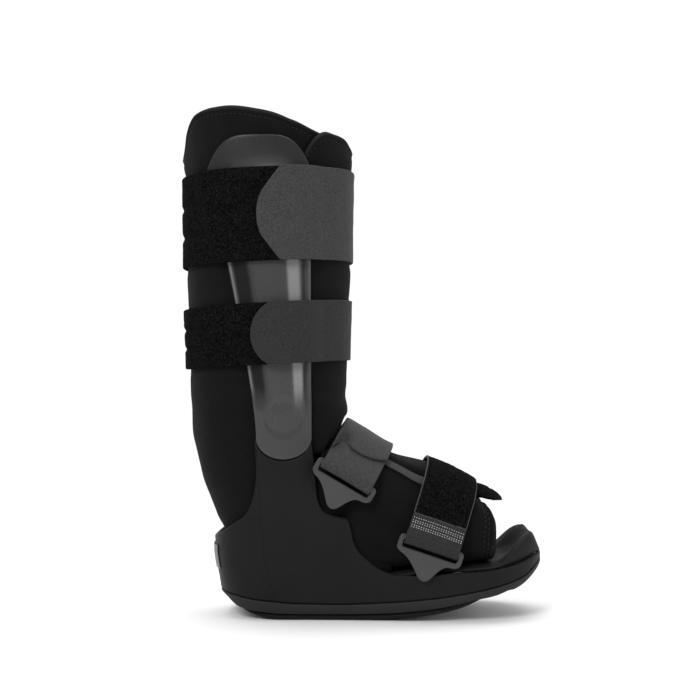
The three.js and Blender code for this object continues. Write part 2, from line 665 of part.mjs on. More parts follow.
function wrapPoint(u, v, depth) {
  const guessX = FOOT_START_X + v * FOOT_LENGTH;
  const turned = u * (360 + FLAP_OVERLAP);
  const guessAngle = flapEdge(guessX) + turned;
  const fromRidge = Math.abs(((guessAngle + 180) % 360) - 180);
  const end = column(TOE_EDGES, 'angle', 'on', fromRidge);
  const start = mix(ROOF_START_X, FOOT_START_X, smooth(fromRidge, ROOF_EDGE.from, ROOF_EDGE.to));
  const x = mix(start, FOOT_START_X + end * FOOT_LENGTH, v);
  const angle = flapEdge(x) + turned;
  const tucked = smooth(turned, 344, 360);
  return footPoint(x, angle, -depth - tucked * (FOOT_WALL + CLEARANCE));
}

function makeFootWrap() {
  const around = steps(34);
  const along = [0, 0.2, 0.27, 0.36, 0.5, 0.64, 0.77, 0.88, 1];
  return wallBody(around, along, (u, v) => wrapPoint(u, v, 0), (u, v) => wrapPoint(u, v, FOOT_WALL));
}

const STRIP_SEAT = CLOTH_GAP + CLEARANCE;

const STRIP_START = 0.32;
const STRIP_ANGLE = 10.5;

function makeStrip() {
  const start = FOOT_START_X + STRIP_START * FOOT_LENGTH;
  const skin = (off) => (u, v) => {
    const x = start + u * STRIP_LENGTH;
    return footPoint(x, flapEdge(x) + 1.5 + v * STRIP_ANGLE, off);
  };
  return wallBody(steps(10), steps(2), skin(STRIP_SEAT + STRIP_THICKNESS), skin(STRIP_SEAT));
}

// Tongue: a pad under both flaps that comes up past them at the toes

const TONGUE_SECTIONS = [
  { on: 0, depth: 1, thick: 0.8, half: 0.6 }, { on: 0.52, depth: 1, thick: 0.8, half: 0.7 },
  { on: 0.66, depth: 0.95, thick: 0.8, half: 0.8 }, { on: 0.75, depth: 0.1, thick: 1, half: 0.9 },
  { on: 0.8, depth: 0, thick: 1.2, half: 1 }, { on: 0.86, depth: -0.42, thick: 1.5, half: 0.98 },
  { on: 0.93, depth: -0.5, thick: 1.35, half: 0.9 }, { on: 0.98, depth: -0.2, thick: 0.8, half: 0.74 },
  { on: 1, depth: 0.05, thick: 0.3, half: 0.6 },
];

function tonguePoint(u, v, face) {
  const start = FOOT_START_X + 0.48 * FOOT_LENGTH;
  const end = FOOT_START_X + FOOT_LENGTH + TONGUE_REACH;
  const x = mix(start, end, u);
  const share = 2 * v - 1;
  const depth = (FOOT_WALL + CLEARANCE) * column(TONGUE_SECTIONS, 'on', 'depth', u);
  const ridge = footPoint(x, 0, 0).z - depth - CLOTH_GAP;
  const half = (TONGUE_WIDTH / 2) * column(TONGUE_SECTIONS, 'on', 'half', u);
  const thick = TONGUE_THICKNESS * column(TONGUE_SECTIONS, 'on', 'thick', u);
  const side = Math.sqrt(Math.max(1 - share * share * 0.96, 0));
  const drop = 0.18 * half * share * share;
  return new THREE.Vector3(x, -half * share, ridge - drop - thick / 2 + (face * thick * side) / 2);
}

function makeTongue() {
  const along = TONGUE_SECTIONS.map((row) => row.on);
  return wallBody(along, steps(6), (u, v) => tonguePoint(u, v, 1), (u, v) => tonguePoint(u, v, -1));
}

// Calf straps: a fuzzy band round the back and a smooth tab round the front

// How far a strap stands off the leg: over the uprights it clears their thickness
function strapSeat(x, z) {
  const back = smooth(x, strutBack(z) - 14, strutBack(z) - 2);
  const front = 1 - smooth(x, UPRIGHT_FRONT + 2, UPRIGHT_FRONT + 13);
  return CLOTH_GAP + (SHELL_WALL + CLEARANCE) * back * front;
}

function calfStrap(strap, startAngle, endAngle, lift, thickness, columns, rows) {
  const point = (off) => (u, v) => {
    const startAt = typeof startAngle === 'function' ? startAngle(v) : startAngle;
    const angle = mix(startAt, endAngle, u);
    const flat = strap.height + (v - 0.5) * strap.width;
    const seatX = legPoint(angle, flat, 0).x;
    const z = flat + Math.tan(radians(strap.tilt)) * (seatX - CALF_X);
    const seat = strapSeat(legPoint(angle, z, SHELL_WALL).x, z);
    return legPoint(angle, z, seat + lift(seatX) + off);
  };
  return wallBody(steps(columns), steps(rows), point(thickness), point(0));
}

const BAND_END = 78;
const STRAPS = {
  upper: { height: UPPER_STRAP_HEIGHT, width: UPPER_STRAP_WIDTH, tilt: 2.4, tabEnd: 93, tabRound: 14 },
  lower: { height: LOWER_STRAP_HEIGHT, width: LOWER_STRAP_WIDTH, tilt: 3.4, tabEnd: 96, tabRound: 11 },
};

function makeBand(strap) {
  return calfStrap(strap, BAND_END, 360 - BAND_END, () => 0, LOOP_BAND_THICKNESS, 36, 2);
}

// The tab lies on the band where they overlap and on the sleeve ahead of it
function makeTab(strap) {
  const lift = LOOP_BAND_THICKNESS + CLOTH_GAP + CLEARANCE;
  const overBand = (x) => lift * (1 - smooth(x, CALF_X + 26, CALF_X + 44));
  const roundEnd = (v) => strap.tabEnd - strap.tabRound * Math.abs(2 * v - 1) ** 2.4;
  return calfStrap(strap, roundEnd, -BAND_END - 8, overBand, TAB_THICKNESS, 26, 4);
}

// Strap loops: a flat plate with a slot for the strap and a tail that is fixed to the shell

function loopShape() {
  const halfSlot = FOOT_STRAP_WIDTH / 2 + 2 * CLEARANCE;
  const halfWidth = halfSlot + LOOP_SIDE;
  const top = LOOP_SLOT_HEIGHT / 2 + LOOP_BAR;
  const low = -LOOP_SLOT_HEIGHT / 2;
  const edge = new THREE.Path();
  edge.moveTo(-halfWidth + 4, top);
  edge.lineTo(halfWidth - 4, top);
  edge.quadraticCurveTo(halfWidth, top, halfWidth, top - 4);
  edge.lineTo(halfWidth, low);
  edge.quadraticCurveTo(halfWidth - 1, low - 5, halfWidth - 9, low - 5);
  edge.bezierCurveTo(0.45 * halfWidth, low - 6, 0.35 * halfWidth, -0.72 * LOOP_TAIL, 6, -0.92 * LOOP_TAIL);
  edge.quadraticCurveTo(2, -LOOP_TAIL - 2, -3, -0.92 * LOOP_TAIL);
  edge.bezierCurveTo(-0.3 * halfWidth, -0.72 * LOOP_TAIL, -0.5 * halfWidth, low - 7, -halfWidth + 5, low - 5);
  edge.quadraticCurveTo(-halfWidth, low - 3, -halfWidth, low);
  edge.lineTo(-halfWidth, top - 4);
  edge.quadraticCurveTo(-halfWidth, top, -halfWidth + 4, top);
  return new THREE.Shape(edge.getPoints(5).slice(0, -1));
}

// Where each loop sits: its slot's centre, and how far its plate is turned
const LOOPS = {
  instep: { x: ANKLE_X + 49, z: 0.768 * SHELL_HEIGHT, turn: 30.6 },
  forefoot: { x: HEEL_X + 0.65 * SOLE_LENGTH, z: 0.39 * SHELL_HEIGHT, turn: 18.6 },
};

// Half width of the shell where a loop's plate lies over it
function loopReach(loop) {
  let reach = 0;
  for (const down of stations(-LOOP_TAIL, LOOP_SLOT_HEIGHT, 6)) {
    for (const along of stations(-FOOT_STRAP_WIDTH / 2, FOOT_STRAP_WIDTH / 2, 6)) {
      const x = loop.x + down * loop.upward.x + along * loop.across.x;
      const z = loop.z + down * loop.upward.z + along * loop.across.z;
      if (z < rimZ(x) + 1) reach = Math.max(reach, shellHalf(x, z, 0));
    }
  }
  return reach;
}

for (const loop of Object.values(LOOPS)) {
  const turn = radians(loop.turn);
  loop.across = new THREE.Vector3(Math.cos(turn), 0, -Math.sin(turn));
  loop.upward = new THREE.Vector3(Math.sin(turn), 0, Math.cos(turn));
  loop.y = loopReach(loop) + CLOTH_GAP + LOOP_THICKNESS / 2;
}

function makeLoop(loop, side) {
  const plate = new THREE.ExtrudeGeometry(loopShape(), { depth: LOOP_THICKNESS, bevelEnabled: false });
  plate.rotateX(Math.PI / 2);
  plate.translate(0, LOOP_THICKNESS / 2, 0);
  const slot = new THREE.BoxGeometry(FOOT_STRAP_WIDTH + 4 * CLEARANCE, 2 * LOOP_THICKNESS, LOOP_SLOT_HEIGHT);
  const geometry = toGeometry(toSolid(plate).subtract(toSolid(slot)));
  geometry.rotateY(radians(loop.turn));
  geometry.translate(loop.x, -side * loop.y, loop.z);
  return geometry;
}

// Foot straps: each runs through its loops and over the foot

// Point over the foot at an angle from the ridge and some way along the strap's width
function overFoot(loop, angle, along, off) {
  let x = loop.x;
  let point = footPoint(x, angle, off);
  for (let pass = 0; pass < 14; pass += 1) {
    const wanted = (along - (point.z - loop.z) * loop.across.z) / loop.across.x;
    x = mix(x, loop.x + wanted, 0.7);
    point = footPoint(x, angle, off);
  }
  return point;
}

// Point beside a loop: out from its plate and up from its slot's centre
function besideLoop(loop, side, along, out, up) {
  return new THREE.Vector3(loop.x, -side * (loop.y + out), loop.z)
    .addScaledVector(loop.across, along)
    .addScaledVector(loop.upward, up);
}

// The turn of a strap round the bar of a loop, from behind it to its outer face
function roundBar(loop, side, along) {
  const seat = LOOP_THICKNESS / 2 + CLOTH_GAP + FOOT_STRAP_THICKNESS / 2;
  const bar = LOOP_SLOT_HEIGHT / 2;
  const dip = CLOTH_GAP + FOOT_STRAP_THICKNESS / 2 + CLEARANCE;
  const turn = [180, 150, 120, 90, 60, 30, 0].map((degrees) => besideLoop(
    loop,
    side,
    along,
    seat * Math.cos(radians(degrees)),
    bar - dip * Math.sin(radians(degrees)),
  ));
  const above = bar + LOOP_BAR + FOOT_STRAP_THICKNESS + CLOTH_GAP;
  return {
    behind: besideLoop(loop, side, along, -seat, above),
    turn,
    front: besideLoop(loop, side, along, seat, above),
  };
}

const FOOT_STRAP_SEAT = STRIP_SEAT + STRIP_THICKNESS + CLOTH_GAP + FOOT_STRAP_THICKNESS / 2;

function arc(loop, angles, along, off) {
  return angles.map((angle) => overFoot(loop, angle, along, off));
}

// Widest angle from the ridge, up to a wish, where a strap on the foot is still above its loop's bar
function leaveAngle(loop, widest) {
  const centre = new THREE.Vector3(loop.x, 0, loop.z);
  const above = LOOP_SLOT_HEIGHT / 2 + LOOP_BAR + FOOT_STRAP_THICKNESS + CLOTH_GAP;
  const room = (angle) => Math.min(...[-0.5, 0.5].map((share) => (
    overFoot(loop, angle, share * FOOT_STRAP_WIDTH, FOOT_STRAP_SEAT).sub(centre).dot(loop.upward) - above
  )));
  let angle = widest;
  while (angle > widest / 3 && room(angle) < LOOP_BAR) angle -= 2;
  return angle;
}

function makeForefootStrap() {
  const loop = LOOPS.forefoot;
  const widest = leaveAngle(loop, 72);
  const line = (v) => {
    const along = (v - 0.5) * FOOT_STRAP_WIDTH;
    const near = roundBar(loop, 1, along);
    const far = roundBar(loop, -1, along);
    return [
      near.behind, ...near.turn, near.front, ...arc(loop, stations(widest, -widest, 12), along, FOOT_STRAP_SEAT),
      far.front, ...far.turn.reverse(), far.behind,
    ];
  };
  return strapBody(line, loop.across, FOOT_STRAP_THICKNESS, steps(3));
}

// The instep strap is sewn to the outer loop, goes over the foot, round the inner bar and back over itself
function makeInstepStrap() {
  const loop = LOOPS.instep;
  const widest = leaveAngle(loop, 62);
  const angles = stations(widest, -widest, 10);
  const line = (v) => {
    const along = (v - 0.5) * FOOT_STRAP_WIDTH;
    const near = roundBar(loop, 1, along);
    const far = roundBar(loop, -1, along);
    const end = 46 - 9 * Math.abs(2 * v - 1) ** 2.4;
    const back = [...angles].reverse().filter((angle) => angle < 30);
    const second = FOOT_STRAP_SEAT + FOOT_STRAP_THICKNESS + CLOTH_GAP;
    return [
      near.behind, ...near.turn, near.front, ...arc(loop, angles, along, FOOT_STRAP_SEAT),
      far.behind, ...far.turn, far.front, ...arc(loop, [...back, end], along, second),
    ];
  };
  return strapBody(line, loop.across, FOOT_STRAP_THICKNESS, steps(4));
}

// Heel label: a bare panel on the back of the heel

function makeLabel() {
  const skin = (off) => (u, v) => {
    const y = (u - 0.5) * LABEL_WIDTH;
    const z = LABEL_CENTRE_HEIGHT + (v - 0.5) * LABEL_HEIGHT;
    let near = heelBack(z);
    let far = near + HEEL_ROUND;
    for (let pass = 0; pass < 24; pass += 1) {
      const x = (near + far) / 2;
      if (shellHalf(x, z, 0) < Math.abs(y)) near = x;
      else far = x;
    }
    return new THREE.Vector3(near - off - 0.02 * Math.abs(y), y * (1 + off / 60), z);
  };
  return wallBody(steps(8), steps(3), skin(CLEARANCE + LABEL_THICKNESS), skin(CLEARANCE));
}

// Scene graph

const finish = (color, roughness) => new THREE.MeshStandardMaterial({ color, roughness, metalness: 0 });
const MATERIALS = {
  liner: finish(COLOURS.liner, 0.95),
  fuzzy: finish(COLOURS.fuzzy, 1),
  tab: finish(COLOURS.tab, 0.85),
  strut: finish(COLOURS.strut, 0.25),
  shell: finish(COLOURS.shell, 0.55),
  sole: finish(COLOURS.sole, 0.6),
  tread: finish(COLOURS.tread, 0.9),
  loop: finish(COLOURS.loop, 0.35),
  label: finish(COLOURS.label, 0.5),
  footbed: finish(COLOURS.footbed, 0.7),
};

const PIECES = [
  ['outsole', makeOutsole(), 'sole'],
  ['tread', makeTread(), 'tread'],
  ['shell_base', makeShell(), 'shell'],
  ['footbed', makeFootbed(), 'footbed'],
  ['strut_lateral', makeStrut(1), 'strut'],
  ['strut_medial', makeStrut(-1), 'strut'],
  ['leg_liner', makeSleeve(), 'liner'],
  ['foot_liner', makeFootWrap(), 'liner'],
  ['tongue', makeTongue(), 'liner'],
  ['flap_strip', makeStrip(), 'tab'],
  ['upper_strap_loop', makeBand(STRAPS.upper), 'fuzzy'],
  ['upper_strap_tab', makeTab(STRAPS.upper), 'tab'],
  ['lower_strap_loop', makeBand(STRAPS.lower), 'fuzzy'],
  ['lower_strap_tab', makeTab(STRAPS.lower), 'tab'],
  ['instep_strap', makeInstepStrap(), 'tab'],
  ['forefoot_strap', makeForefootStrap(), 'fuzzy'],
  ['instep_loop_lateral', makeLoop(LOOPS.instep, 1), 'loop'],
  ['instep_loop_medial', makeLoop(LOOPS.instep, -1), 'loop'],
  ['forefoot_loop_lateral', makeLoop(LOOPS.forefoot, 1), 'loop'],
  ['forefoot_loop_medial', makeLoop(LOOPS.forefoot, -1), 'loop'],
  ['heel_label', makeLabel(), 'label'],
];

const boot = new THREE.Group();
for (const [name, geometry, material] of PIECES) {
  const mesh = new THREE.Mesh(geometry, MATERIALS[material]);
  mesh.name = name;
  boot.add(mesh);
}

export default boot;
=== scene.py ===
"""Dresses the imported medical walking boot: fabrics, straps, plastics, stitching, light and camera."""
import math

import bmesh
import bpy
import numpy as np
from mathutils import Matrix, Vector, noise


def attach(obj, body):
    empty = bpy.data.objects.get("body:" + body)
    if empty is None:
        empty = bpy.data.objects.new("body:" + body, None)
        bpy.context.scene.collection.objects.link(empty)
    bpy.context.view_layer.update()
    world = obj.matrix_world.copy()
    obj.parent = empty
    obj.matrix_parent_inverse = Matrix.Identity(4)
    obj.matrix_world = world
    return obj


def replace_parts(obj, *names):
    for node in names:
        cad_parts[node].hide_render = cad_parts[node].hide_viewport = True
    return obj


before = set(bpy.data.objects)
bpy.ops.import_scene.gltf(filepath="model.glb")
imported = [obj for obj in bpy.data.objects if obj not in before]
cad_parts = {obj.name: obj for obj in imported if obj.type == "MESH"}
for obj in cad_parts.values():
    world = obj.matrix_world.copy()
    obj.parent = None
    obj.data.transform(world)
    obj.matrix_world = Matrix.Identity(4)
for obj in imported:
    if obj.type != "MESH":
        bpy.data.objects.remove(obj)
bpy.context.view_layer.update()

# Sizes of the frame, in millimetres as in the CAD source

CLEARANCE, CLOTH_GAP, NEST_GAP = 0.3, 0.9, 1.5
SOLE_LENGTH, SOLE_WIDTH = 275.0, 108.0
HEEL_X, TOE_X = -124.0, 151.0
HEEL_ROUND, TOE_ROUND, HEEL_LEAN = 38.0, 62.0, 5.5
TOE_SPRING, PARTING_HEIGHT = 47.0, 50.0
TREAD_THICKNESS, TREAD_INSET = 4.5, 4.0
GROOVE_WIDTH, GROOVE_DEPTH, GROOVE_PITCH = 4.0, 2.2, 15.0
SHELL_HEIGHT, SHELL_WALL, SHELL_FLOOR = 151.0, 3.5, 5.0
FOOTBED_HEIGHT, TOE_LIP = 52.0, 19.0
ANKLE_X, UPRIGHT_WIDTH = -63.5, 44.0
STRUT_TOP, STRUT_TOP_WIDTH, STRUT_TOP_CORNER = 394.0, 81.0, 27.0
SOCKET_DEPTH, STRUT_RELIEF = 17.0, 2.0
SLEEVE_HEIGHT, CALF_X, CALF_DEPTH, CALF_WIDTH = 430.0, -80.0, 143.5, 115.0
SLEEVE_WALL, FLAP_CORNER, SLEEVE_HEM, HEM_RISE = 8.0, 29.0, 146.0, 19.0
FOOT_START_X, FOOT_LENGTH = ANKLE_X + 6, 167.0
FOOT_HEIGHT, FOOT_WIDTH, FOOT_WALL = 157.0, 102.0, 5.0
TONGUE_WIDTH, TONGUE_THICKNESS, TONGUE_REACH = 50.0, 7.0, 9.0
STRIP_THICKNESS, STRIP_LENGTH = 1.2, 82.0
BAND_THICKNESS, TAB_THICKNESS = 3.0, 2.0
FOOT_STRAP_WIDTH, FOOT_STRAP_THICKNESS = 45.0, 2.0
LOOP_THICKNESS, LOOP_SLOT, LOOP_BAR, LOOP_SIDE, LOOP_TAIL = 3.0, 6.0, 4.0, 4.0, 25.0
UPRIGHT_BACK, UPRIGHT_FRONT = ANKLE_X - UPRIGHT_WIDTH / 2, ANKLE_X + UPRIGHT_WIDTH / 2
LEDGE_X = UPRIGHT_FRONT + 0.15 * (TOE_X - UPRIGHT_FRONT)
INSTEP_END_X = UPRIGHT_FRONT + 0.33 * (TOE_X - UPRIGHT_FRONT)
MM = 0.001
UV_LENGTH = 100.0

# Small maths


def smooth(value, low, high):
    share = np.clip((np.asarray(value, float) - low) / (high - low), 0, 1)
    return share * share * (3 - 2 * share)


def mix(a, b, share):
    return a + (b - a) * share


def bent(value, power):
    return np.sign(value) * np.abs(value) ** power


def bump(value, centre, width):
    """A soft ridge of height 1 round centre."""
    return np.exp(-((np.asarray(value, float) - centre) / width) ** 2)


def between(value, low, low_end, high_start, high):
    """1 from low_end to high_start, easing to 0 at low and at high."""
    return smooth(value, low, low_end) * (1 - smooth(value, high_start, high))


def column(table, key, t):
    """Smooth value of one column of a table at t; the first column says each row's place."""
    places = np.array(next(iter(table.values())), float)
    values = np.array(table[key], float)
    t = np.clip(np.asarray(t, float), places[0], places[-1])
    chords = np.diff(values) / np.diff(places)
    before, after = chords[:-1], chords[1:]
    total = np.where(before + after == 0, 1, before + after)
    inner = np.where(before * after <= 0, 0, 2 * before * after / total)
    slopes = np.concatenate([chords[:1], inner, chords[-1:]])
    row = np.clip(np.searchsorted(places, t, side="right") - 1, 0, len(places) - 2)
    span = places[row + 1] - places[row]
    s = (t - places[row]) / span
    start, end = values[row], values[row + 1]
    return (start * (1 + 2 * s) * (1 - s) ** 2 + slopes[row] * span * s * (1 - s) ** 2
            + end * s * s * (3 - 2 * s) + slopes[row + 1] * span * s * s * (s - 1))


def points(x, y, z):
    """Stacks coordinates into an array of points."""
    x, y, z = np.broadcast_arrays(np.asarray(x, float), y, z)
    return np.stack([x, y, z], axis=-1)


# Surfaces of the frame

SOLE = {
    "at": [0, 0.04, 0.08, 0.13, 0.19, 0.25, 0.38, 0.5, 0.62, 0.74, 0.84, 0.93, 1],
    "half": [0.8, 0.8, 0.8, 0.8, 0.8, 0.8, 0.81, 0.86, 0.94, 1, 0.99, 0.95, 0.9],
    "rocker": [0.44, 0.34, 0.18, 0.07, 0.014, 0, 0, 0.02, 0.085, 0.22, 0.41, 0.62, 0.92],
    "parting": [0.45, 0.425, 0.39, 0.345, 0.31, 0.28, 0.27, 0.3, 0.36, 0.46, 0.57, 0.71, 0.98],
}
LEG = {
    "up": [0.08, 0.17, 0.2, 0.263, 0.316, 0.358, 0.477, 0.67, 0.84, 0.885, 1],
    "back": [-0.225, -0.245, -0.293, -0.364, -0.408, -0.429, -0.449, -0.466, -0.471, -0.492, -0.499],
    "front": [1.3, 1.1, 0.84, 0.59, 0.478, 0.466, 0.471, 0.486, 0.493, 0.499, 0.501],
    "half": [0.4, 0.425, 0.435, 0.442, 0.446, 0.449, 0.474, 0.491, 0.498, 0.5, 0.5],
}
RIM_BEHIND = {
    "on": [0, 0.4, 0.55, 0.74, 0.88, 0.96, 1, 0.99, 0.97],
    "up": [0.435, 0.508, 0.537, 0.572, 0.635, 0.712, 0.81, 0.9, 0.985],
}
RIM_AHEAD = {
    "on": [0, 0.011, 0.019, 0.027, 0.042, 0.075, 0.115, 0.15, 0.166, 0.178, 0.198, 0.235, 0.277, 0.32,
           0.373, 0.45, 0.535, 0.754, 0.875, 0.974, 1.03],
    "up": [0.985, 0.9, 0.8, 0.69, 0.625, 0.586, 0.57, 0.56, 0.517, 0.444, 0.384, 0.338, 0.294, 0.268,
           0.252, 0.252, 0.262, 0.283, 0.307, 0.346, 0.36],
}
FOOTBED = {"at": [0, 0.3, 0.5, 0.66, 0.82, 0.93, 1], "up": [0.68, 0.7, 0.73, 0.83, 0.88, 0.96, 1.06]}
STRUT = {"up": [0.3, 0.375, 0.525, 0.655, 0.735, 0.86, 0.93, 1],
         "back": [0, 0, 0.085, 0.203, 0.282, 0.448, 0.488, 0.488]}
RELIEF = {
    "across": [0, 0.14, 0.27, 0.31, 0.5, 0.66, 0.71, 0.87, 0.89, 0.93, 0.945, 1],
    "sink": [1, 0.6, 0.05, 0.35, 0.3, 0.35, 0, 0, 0.8, 0.8, 0.2, 0.4],
}
SLEEVE_RIM = {
    "on": [0, 0.02, 0.04, 0.1, 0.19, 0.31, 0.485, 0.69, 0.82, 0.875, 0.958, 1],
    "up": [0.895, 0.915, 0.95, 0.984, 0.9955, 1, 0.993, 0.977, 0.958, 0.949, 0.937, 0.912],
}
FOOT = {
    "on": [0, 0.15, 0.21, 0.265, 0.34, 0.5, 0.67, 0.8, 0.93, 1],
    "ridge": [0.905, 0.905, 0.93, 0.995, 0.955, 0.856, 0.81, 0.757, 0.676, 0.62],
    "half": [0.495, 0.495, 0.495, 0.495, 0.49, 0.485, 0.48, 0.475, 0.46, 0.45],
    "top": [0.4, 0.42, 0.55, 0.75, 0.85, 0.88, 0.88, 0.86, 0.82, 0.8],
}
FLAP = {"on": [0, 0.3, 0.5, 0.64, 0.8, 1], "angle": [12, 24, 33, 46, 50, 50]}
TOE_EDGE = {"angle": [0, 36, 50, 62, 78, 90, 180], "on": [0.865, 0.875, 0.945, 0.98, 0.998, 1, 0.99]}
LEG_SQUARENESS = 2.3


def sole_share(x):
    return (np.asarray(x, float) - HEEL_X) / SOLE_LENGTH


def rocker_z(x):
    return TOE_SPRING * column(SOLE, "rocker", sole_share(x))


def parting_z(x):
    return PARTING_HEIGHT * column(SOLE, "parting", sole_share(x))


def sole_half(x):
    return SOLE_WIDTH / 2 * column(SOLE, "half", sole_share(x))


def heel_back(z):
    return HEEL_X + HEEL_LEAN * (1 - smooth(z, 0.1 * SHELL_HEIGHT, 0.38 * SHELL_HEIGHT))


def end_round(x, back, front):
    """Share of the full width left where the heel and the toe round off."""
    heel = np.clip(1 - (x - back) / HEEL_ROUND, 0, 1)
    toe = np.clip(1 - (front - x) / TOE_ROUND, 0, 1)
    return (1 - heel ** 2.2) ** (1 / 2.2) * (1 - toe ** 2.3) ** (1 / 2.3)


def leg_outline(z):
    share = np.asarray(z, float) / SLEEVE_HEIGHT
    back = CALF_X + CALF_DEPTH * column(LEG, "back", share)
    front = CALF_X + CALF_DEPTH * column(LEG, "front", share)
    return (back + front) / 2, (front - back) / 2, CALF_WIDTH * column(LEG, "half", share)


def leg_point(angle, z, off):
    """Point of the leg outline; 0 degrees is the front and 90 the outer side."""
    middle, depth, half = leg_outline(z)
    turn = np.radians(angle)
    power = 2 / LEG_SQUARENESS
    return points(middle + (depth + off) * bent(np.cos(turn), power),
                  -(half + off) * bent(np.sin(turn), power), z)


def leg_half(x, z, off):
    middle, depth, half = leg_outline(z)
    share = np.clip(np.abs(x - middle) / (depth + off), 0, 1)
    return (half + off) * (1 - share ** LEG_SQUARENESS) ** (1 / LEG_SQUARENESS)


def shell_half(x, z, wall):
    leg_x = np.clip(x, UPRIGHT_BACK, LEDGE_X)
    upper = leg_half(leg_x, np.maximum(z, 0.55 * SHELL_HEIGHT), CLEARANCE + SHELL_WALL)
    rise = smooth(z, 0.12 * SHELL_HEIGHT, 0.62 * SHELL_HEIGHT)
    ends = end_round(x, heel_back(z) + wall, TOE_X - wall)
    return np.maximum((mix(sole_half(x), upper, rise) - wall) * ends, 0)


def rim_z(x):
    return SHELL_HEIGHT * column(RIM_AHEAD, "up", (x - UPRIGHT_FRONT) / (TOE_X - UPRIGHT_FRONT))


def heel_rim_z(x):
    share = (np.asarray(x, float) - HEEL_X) / (UPRIGHT_BACK - HEEL_X)
    table = {key: RIM_BEHIND[key][:7] for key in RIM_BEHIND}
    inside = np.where(share > 1, SHELL_HEIGHT, SHELL_HEIGHT * column(table, "up", share))
    return np.where(share < 0, 0, inside)


def socket_z(x):
    share = np.clip((x - ANKLE_X) / (UPRIGHT_WIDTH / 2), -1, 1)
    return 0.985 * SHELL_HEIGHT - SOCKET_DEPTH * np.sqrt(1 - share * share)


def footbed_top(x):
    return FOOTBED_HEIGHT * column(FOOTBED, "up", sole_share(x))


def strut_back(z):
    return UPRIGHT_BACK - STRUT_TOP_WIDTH * column(STRUT, "back", z / STRUT_TOP)


def foot_point(x, angle, off):
    share = (x - FOOT_START_X) / FOOT_LENGTH
    ridge = FOOT_HEIGHT * column(FOOT, "ridge", share)
    low = footbed_top(x) + CLEARANCE + 0.7
    middle, height = (ridge + low) / 2, (ridge - low) / 2
    half = FOOT_WIDTH * column(FOOT, "half", share)
    cosine, sine = np.cos(np.radians(angle)), np.sin(np.radians(angle))
    power = np.where(cosine > 0, column(FOOT, "top", share), 0.5)
    z = middle + (height + off) * bent(cosine, power)
    y = -(half + off) * bent(sine, power)
    limit = np.maximum(shell_half(x, z, SHELL_WALL) - NEST_GAP + off, 1)
    held = (x < LEDGE_X) | ((x < INSTEP_END_X) & (z < 0.6 * SHELL_HEIGHT))
    return points(x, np.where(held, np.clip(y, -limit, limit), y), z)


def flap_edge(x):
    return column(FLAP, "angle", (x - FOOT_START_X) / FOOT_LENGTH)


def strap_seat(x, z):
    """How far a strap stands off the leg: over the uprights it clears their thickness."""
    back = strut_back(z)
    over = between(x, back - 14, back - 2, UPRIGHT_FRONT + 2, UPRIGHT_FRONT + 13)
    return CLOTH_GAP + (SHELL_WALL + CLEARANCE) * over


# Mesh building


def edge_shares(length, half, count, rounding=6):
    """Shares of a length, close together within half of both ends."""
    ends = half * (1 - np.cos(np.linspace(0, np.pi / 2, rounding)))
    inner = np.linspace(half, length - half, count)
    return np.concatenate([ends[:-1], inner, (length - ends[::-1])[1:]]) / length


def mesh_grid(u_shares, v_shares):
    return np.meshgrid(u_shares, v_shares, indexing="ij")


def grid_normals(grid, around, closed=False):
    """Unit normals of a grid of points, turned away from the middle line along x or z."""
    source = np.concatenate([grid[-1:], grid, grid[:1]]) if closed else grid
    along, across = np.gradient(source, axis=0), np.gradient(source, axis=1)
    normal = np.cross(along, across)
    if closed:
        normal = normal[1:-1]
    length = np.linalg.norm(normal, axis=-1, keepdims=True)
    normal = normal / np.where(length == 0, 1, length)
    away = grid - np.array([CALF_X, 0, 85.0])
    away[..., "xyz".index(around)] = 0
    return normal if (normal * away).sum() > 0 else -normal


def link(mesh, material):
    """A piece of the boot from a mesh, under the mesh's name."""
    obj = bpy.data.objects.new(mesh.name, mesh)
    bpy.context.scene.collection.objects.link(obj)
    mesh.materials.append(material)
    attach(obj, "root")
    return obj


def mesh_from(name, verts, faces, uvs=None):
    """A mesh in metres from points in millimetres, with one UV for each point."""
    mesh = bpy.data.meshes.new(name)
    mesh.from_pydata((np.asarray(verts) * MM).tolist(), [], faces)
    if uvs is not None:
        layer = mesh.uv_layers.new(name="cloth")
        loops = np.empty(len(mesh.loops), int)
        mesh.loops.foreach_get("vertex_index", loops)
        layer.data.foreach_set("uv", np.asarray(uvs)[loops].ravel())
    mesh.polygons.foreach_set("use_smooth", [True] * len(mesh.polygons))
    mesh.update()
    return mesh


def cleaned(mesh, merge=0.0):
    """Joins points closer than merge metres and turns a closed mesh's faces outwards."""
    work = bmesh.new()
    work.from_mesh(mesh)
    if merge:
        bmesh.ops.remove_doubles(work, verts=work.verts, dist=merge)
    bmesh.ops.recalc_face_normals(work, faces=work.faces)
    work.to_mesh(mesh)
    work.free()
    return mesh


